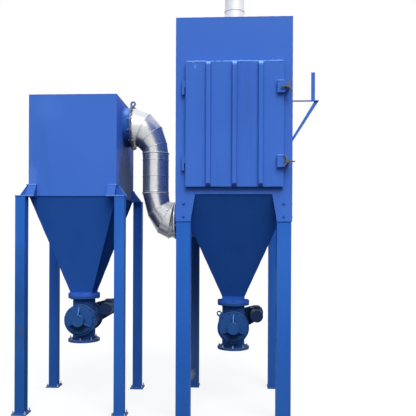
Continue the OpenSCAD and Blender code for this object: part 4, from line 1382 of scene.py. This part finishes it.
@dataclass
class Studio:
    """Camera, lamp, world and floor.

    The camera stands 5.2 m in front of the plant's middle at eye height, turned a little left.
    """

    eye: Triple = (0.638, -5.235, 1.600)
    turn: float = 0.050
    roll: float = 0.004
    focal_px: float = 550.0
    picture_px: float = 416.0
    horizon_px: float = 235.6
    sensor_mm: float = 36.0
    horizon_light: float = 0.20
    zenith_light: float = 1.50
    key_light: float = 2.2
    key_spread: float = 40.0
    floor_half: float = 60.0
    floor_drop: float = 0.0006
    floor_shadow: float = 0.22

    def build(self) -> None:
        """Make the whole studio."""
        self.camera()
        self.world()
        self.lamp()
        self.floor()

    def camera(self) -> None:
        """A level camera whose horizon is raised by the shift."""
        data = bpy.data.cameras.new("camera")
        data.sensor_width = self.sensor_mm
        data.lens = self.focal_px / self.picture_px * self.sensor_mm
        data.shift_y = (self.horizon_px - self.picture_px / 2) / self.picture_px
        camera = linked("camera", data)
        right = Vector((math.cos(self.turn), math.sin(self.turn), 0))
        back = Vector((math.sin(self.turn), -math.cos(self.turn), 0))
        rolled_right = right * math.cos(self.roll) + UP * math.sin(self.roll)
        rolled_up = UP * math.cos(self.roll) - right * math.sin(self.roll)
        pose = Matrix((rolled_right, rolled_up, back)).transposed().to_4x4()
        pose.translation = Vector(self.eye)
        camera.matrix_world = pose
        bpy.context.scene.camera = camera

    def world(self) -> None:
        """A white world to look at, and for light a sky that brightens towards the zenith."""
        world = bpy.data.worlds.new("studio")
        world.use_nodes = True
        graph = Graph(world.node_tree)
        height = graph.part(graph.node("ShaderNodeTexCoord").outputs["Generated"], "Z")
        strength = graph.ramp(height, 0.0, 1.0, self.horizon_light, self.zenith_light)
        sky = graph.node("ShaderNodeBackground", Color=(0.90, 0.95, 1.0), Strength=strength)
        white = graph.node("ShaderNodeBackground", Color=(1.0, 1.0, 1.0))
        graph.show("ShaderNodeOutputWorld", sky.outputs[0], white.outputs[0])
        bpy.context.scene.world = world

    def lamp(self) -> None:
        """One high, broad key from the front, a little right."""
        data = bpy.data.lights.new("key_lamp", "SUN")
        data.energy = self.key_light
        data.angle = math.radians(self.key_spread)
        data.color = (1.0, 0.98, 0.95)
        lamp = linked("key_lamp", data)
        lamp.rotation_mode = "QUATERNION"
        lamp.rotation_quaternion = Vector((-0.20, 0.60, -0.77)).to_track_quat("-Z", "Y")

    def floor(self) -> None:
        """A pale floor that shows white and keeps the plant's shadow."""
        mesh = bpy.data.meshes.new("floor")
        mesh.from_pydata(square(UP * -self.floor_drop, self.floor_half), [], [(0, 1, 2, 3)])
        material = bpy.data.materials.new("pale_floor")
        material.use_nodes = True
        graph = Graph(material.node_tree)
        glow = graph.node("ShaderNodeEmission", Color=(1.0, 1.0, 1.0), Strength=1.0).outputs[0]
        lit = graph.node("ShaderNodeBsdfDiffuse", Color=(0.8, 0.8, 0.8)).outputs[0]
        bounce = graph.node("ShaderNodeBsdfDiffuse", Color=(0.08, 0.08, 0.08)).outputs[0]
        shown = graph.in_order("ShaderNodeMixShader", {}, self.floor_shadow, glow, lit).outputs[0]
        graph.show("ShaderNodeOutputMaterial", bounce, shown)
        mesh.materials.append(material)
        linked("floor", mesh)


# The plant's finishes

VESSEL_BLUES = ((0.050, 0.166, 0.650), (0.068, 0.196, 0.705))
# Pale blue on edges: a painted highlight where edges catch the light, partly worn enamel
EDGE_HIGHLIGHT_AND_WEAR = (0.16, 0.32, 0.85)


def wall_marks() -> tuple[Mark, ...]:
    """Painted shade and a grey painted reflection of the duct, with some dust, on the separator's right wall
    under the duct, and painted highlights as paler patches on its front.

    Returns:
        The box's marks.
    """
    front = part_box("separator_front_wall")[0]
    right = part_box("separator_right_wall")[1].x
    back = middle("separator_right_wall").y
    return (
        # Painted shade and grey reflection of the duct, with some dust, low on the right wall
        Mark((right, back + 0.04, 2.12), (0.05, 0.46, 0.52), (0.098, 0.130, 0.168), 0.85, 6.0),
        # Painted highlights: paler patches at the front's left edge and upper left
        Mark((front.x + 0.03, front.y, 2.13), (0.07, 0.02, 0.14), (0.11, 0.24, 0.72), 0.6, 16.0),
        Mark((front.x + 0.16, front.y, 2.74), (0.16, 0.02, 0.16), (0.075, 0.215, 0.735), 0.7, 8.0),
    )


def leg_marks() -> tuple[Mark, ...]:
    """Worn enamel and rust on the separator's front left leg, and painted shade, darker and greyer, on the
    filter's rear left one.

    Returns:
        The legs' marks.
    """
    x = middle("separator_leg_front_left").x
    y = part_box("separator_leg_front_left")[0].y + 0.023
    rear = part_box("filter_leg_back_left")[0]
    rust = (0.12, 0.075, 0.055)
    return (
        Mark((x, y, 0.35), (0.2, 0.4, 1.3), (0.015, 0.078, 0.26), 0.62, 3.0),
        # Painted shade: the filter's rear left leg, under the housing, darker and greyer
        Mark((rear.x + 0.055, rear.y, 1.0), (0.2, 0.4, 1.6), (0.045, 0.110, 0.29), 0.9, 3.0),
        Mark((x + 0.004, y, 0.76), (0.016, 0.03, 0.06), rust, 0.8, 60.0),
        Mark((x - 0.004, y, 0.62), (0.010, 0.03, 0.045), rust, 0.5, 60.0),
        Mark((rear.x + 0.055, rear.y, 0.14), (0.05, 0.05, 0.07), (0.30, 0.30, 0.28), 0.8, 30.0),
    )


def hollow_marks() -> tuple[Mark, ...]:
    """The shaded hollow between the lower ribs of both valves' front covers.

    Returns:
        One mark for each valve.
    """
    middles = map(cover_middle, ("separator", "filter"))
    shade = (0.010, 0.024, 0.066)
    return tuple(Mark((m.x, m.y, m.z - 0.088), (0.105, 0.06, 0.052), shade, 0.7, 14.0) for m in middles)


def door_scuffs() -> tuple[Mark, ...]:
    """Chalky scuffs at the door's upper corner by the hinge.

    Returns:
        The door's marks.
    """
    low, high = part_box("door_panel")
    chalk = (0.40, 0.56, 0.95)
    return (
        Mark((low.x + 0.072, low.y, high.z - 0.010), (0.022, 0.02, 0.009), chalk, 0.5, 120.0),
        Mark((low.x + 0.080, low.y, high.z - 0.045), (0.014, 0.02, 0.030), chalk, 0.25, 90.0),
    )


def neck_rims() -> tuple[Mark, ...]:
    """Paler enamel round the flanges under both hoppers.

    Returns:
        One mark for each hopper.
    """
    marks: list[Mark] = []
    for hopper in ("separator_hopper", "filter_hopper"):
        rim = middle(hopper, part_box(hopper)[0].z + 0.012)
        marks.append(Mark(tuple(rim), (0.50, 0.50, 0.045), (0.050, 0.145, 0.62), 0.85, 9.0))
    return tuple(marks)


def rib_end_highlight_and_shade(width: float = 0.045) -> tuple[Mark, ...]:
    """Painted highlights on the upper ends and painted shade on the lower ends of the door's three ribs.

    Args:
        width: Width of a rib.

    Returns:
        Two marks for each rib.
    """
    low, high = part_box("door_ribs")
    marks: list[Mark] = []
    for x in (low.x + width / 2, (low.x + high.x) / 2, high.x - width / 2):
        # Painted highlight on the upper end, which faces the light
        marks.append(Mark((x, low.y, high.z), (0.05, 0.04, 0.046), (0.24, 0.52, 1.0), 0.9, 9.0))
        # Painted shade on the lower end
        marks.append(Mark((x, low.y, low.z), (0.04, 0.03, 0.022), (0.012, 0.035, 0.16), 0.85, 12.0))
    return tuple(marks)


def spigot_marks() -> tuple[Mark, ...]:
    """A greyer patch at the top by the flange, a painted highlight on the upper side and painted shade on the
    underside of the separator's outlet spigot.

    Returns:
        The spigot's marks.
    """
    low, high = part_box("separator_outlet_spigot")
    mid_y, z = flange_centre().yz
    return (
        Mark((high.x, mid_y, high.z), (0.06, 0.06, 0.075), (0.13, 0.16, 0.27), 0.9, 6.0),
        # Painted highlight on the upper side
        Mark((low.x + 0.05, low.y + 0.09, z + 0.13), (0.06, 0.08, 0.06), (0.20, 0.36, 0.72), 0.8, 14.0),
        # Painted shade on the underside
        Mark((low.x + 0.05, mid_y - 0.10, z - 0.19), (0.12, 0.3, 0.12), PaintFinish.soil_and_shade, 0.8, 14.0),
    )


def elbow_marks() -> tuple[Mark, ...]:
    """A dark rim at the elbow's flange, and a near-white painted highlight on its outer bend, where the
    filter housing shades it.

    Returns:
        The elbow's marks.
    """
    flange = flange_centre()
    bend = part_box("duct_upper_elbow")[1]
    highlight_centre = (bend.x - 0.08, flange.y - 0.03, bend.z - 0.11)
    return (
        Mark((flange.x + 0.002, flange.y, flange.z), (0.022, 0.6, 0.6), (0.055, 0.060, 0.105), 0.9, 30.0),
        # Painted highlight: near white on the outer bend
        Mark(highlight_centre, (0.12, 0.17, 0.12), (0.97, 0.97, 0.95), 1.0, 6.0),
    )


def flange_centre() -> Vector:
    """The middle of the face where the duct's upper elbow meets the outlet spigot.

    Returns:
        The point.
    """
    elbow_low, elbow_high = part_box("duct_upper_elbow")
    spigot_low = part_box("separator_outlet_spigot")[0]
    return Vector((elbow_low.x, middle("separator_outlet_spigot").y, (spigot_low.z + elbow_high.z) / 2))


def finishes() -> dict[Slot | Special, Finish]:
    """The finish of every slot, and of the pieces that have one of their own.

    Returns:
        The finishes by slot or name.
    """
    return {
        Slot.VESSEL: PaintFinish("vessel_blue", *VESSEL_BLUES, marks=wall_marks()),
        Slot.FRAME: PaintFinish(
            "frame_blue", (0.026, 0.147, 0.600), (0.037, 0.170, 0.650),
            waves=0.0008, gloss=0.03, foot_dirt=0.35, marks=leg_marks(),
        ),
        Slot.VALVE: PaintFinish(
            "valve_blue", (0.021, 0.091, 0.295), (0.031, 0.105, 0.330),
            waves=0.0005, edge_radius=0.004, wear_and_highlight=0.5, dust=0.2, grime_and_hollow_shade=0.9, gloss=0.03, marks=hollow_marks(),
        ),
        Slot.DRIVE: PaintFinish(
            "drive_blue", (0.010, 0.027, 0.085), (0.014, 0.036, 0.105),
            roughness=0.50, waves=0.0005, wear_and_highlight=0.4, dust=0.2, grime_and_hollow_shade=0.8,
        ),
        Slot.ZINC: ZincFinish("galvanised"),
        Slot.ROTOR: BareFinish("rotor_metal", (0.36, 0.36, 0.35), (0.15, 0.13, 0.11)),
        Slot.KNOB: BareFinish("worn_grey_metal", (0.12, 0.125, 0.125), (0.045, 0.046, 0.045), 0.4, 0.5),
        Slot.SEAL: RubberFinish("seal_black"),
        # Painted shade: a darker copy of the vessel's blue for the down-sloping hopper, darker still on faces
        # turned right and in hollows
        Special.SHADED_HOPPER: PaintFinish(
            "hopper_shaded_blue", (0.024, 0.118, 0.500), (0.031, 0.136, 0.540),
            grime_and_hollow_shade=0.7, gloss=0.0, right_face_shade=0.32, marks=neck_rims(),
        ),
        # Pale edges on the brackets: painted highlights, partly worn enamel
        Special.BRACKET: PaintFinish(
            "bracket_blue", (0.030, 0.118, 0.48), (0.040, 0.138, 0.52), wear_and_highlight=0.4, dust=0.06, wear_and_highlight_colour=EDGE_HIGHLIGHT_AND_WEAR
        ),
        # Pale blue for edge beads: worn enamel with a painted highlight
        Special.WORN_HIGHLIT: PaintFinish("worn_highlit_edge_blue", (0.19, 0.39, 0.95), (0.15, 0.33, 0.90), waves=0.0004),
        # Pale edges on the door and its lugs: painted highlights, partly worn enamel
        Special.DOOR: PaintFinish(
            "door_blue", *VESSEL_BLUES, edge_radius=0.005, wear_and_highlight=0.55, wear_and_highlight_colour=EDGE_HIGHLIGHT_AND_WEAR, marks=door_scuffs()
        ),
        Special.RIBS: PaintFinish("rib_blue", *VESSEL_BLUES, edge_radius=0.005, marks=rib_end_highlight_and_shade()),
        Special.OUTLET: PaintFinish(
            "outlet_blue", (0.030, 0.118, 0.400), (0.038, 0.134, 0.45), marks=spigot_marks()
        ),
        Special.ELBOW: ZincFinish("flanged_zinc", marks=elbow_marks()),
        # Painted light: a paler, less metallic copy of the zinc for the roof stub, which catches more light,
        # and for the duct's rolled beads
        Special.STUB: ZincFinish(
            "pale_zinc", (0.92, 0.92, 0.91), (0.78, 0.79, 0.79), metallic=0.35, matt=0.35, roughness=0.4
        ),
        Special.PLATED: BareFinish("plated_bolts", (0.40, 0.41, 0.43), (0.16, 0.16, 0.17), 0.7, 0.42, 0.7),
    }


def main() -> None:
    """Build the studio and every sub-assembly round the frame."""
    logging.basicConfig(level=logging.INFO, format="%(name)s: %(message)s")
    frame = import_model()
    bpy.context.scene.view_settings.view_transform = "Standard"
    Studio().build()
    shop = Workshop(frame["nodes"], {name: finish.material() for name, finish in finishes().items()})
    Separator(shop, "separator").build()
    RotaryValve(shop, "separator").build()
    Duct(shop).build()
    FilterHousing(shop, "filter").build()
    RotaryValve(shop, "filter").build()
    Door(shop).build()


if __name__ == "__main__":
    main()
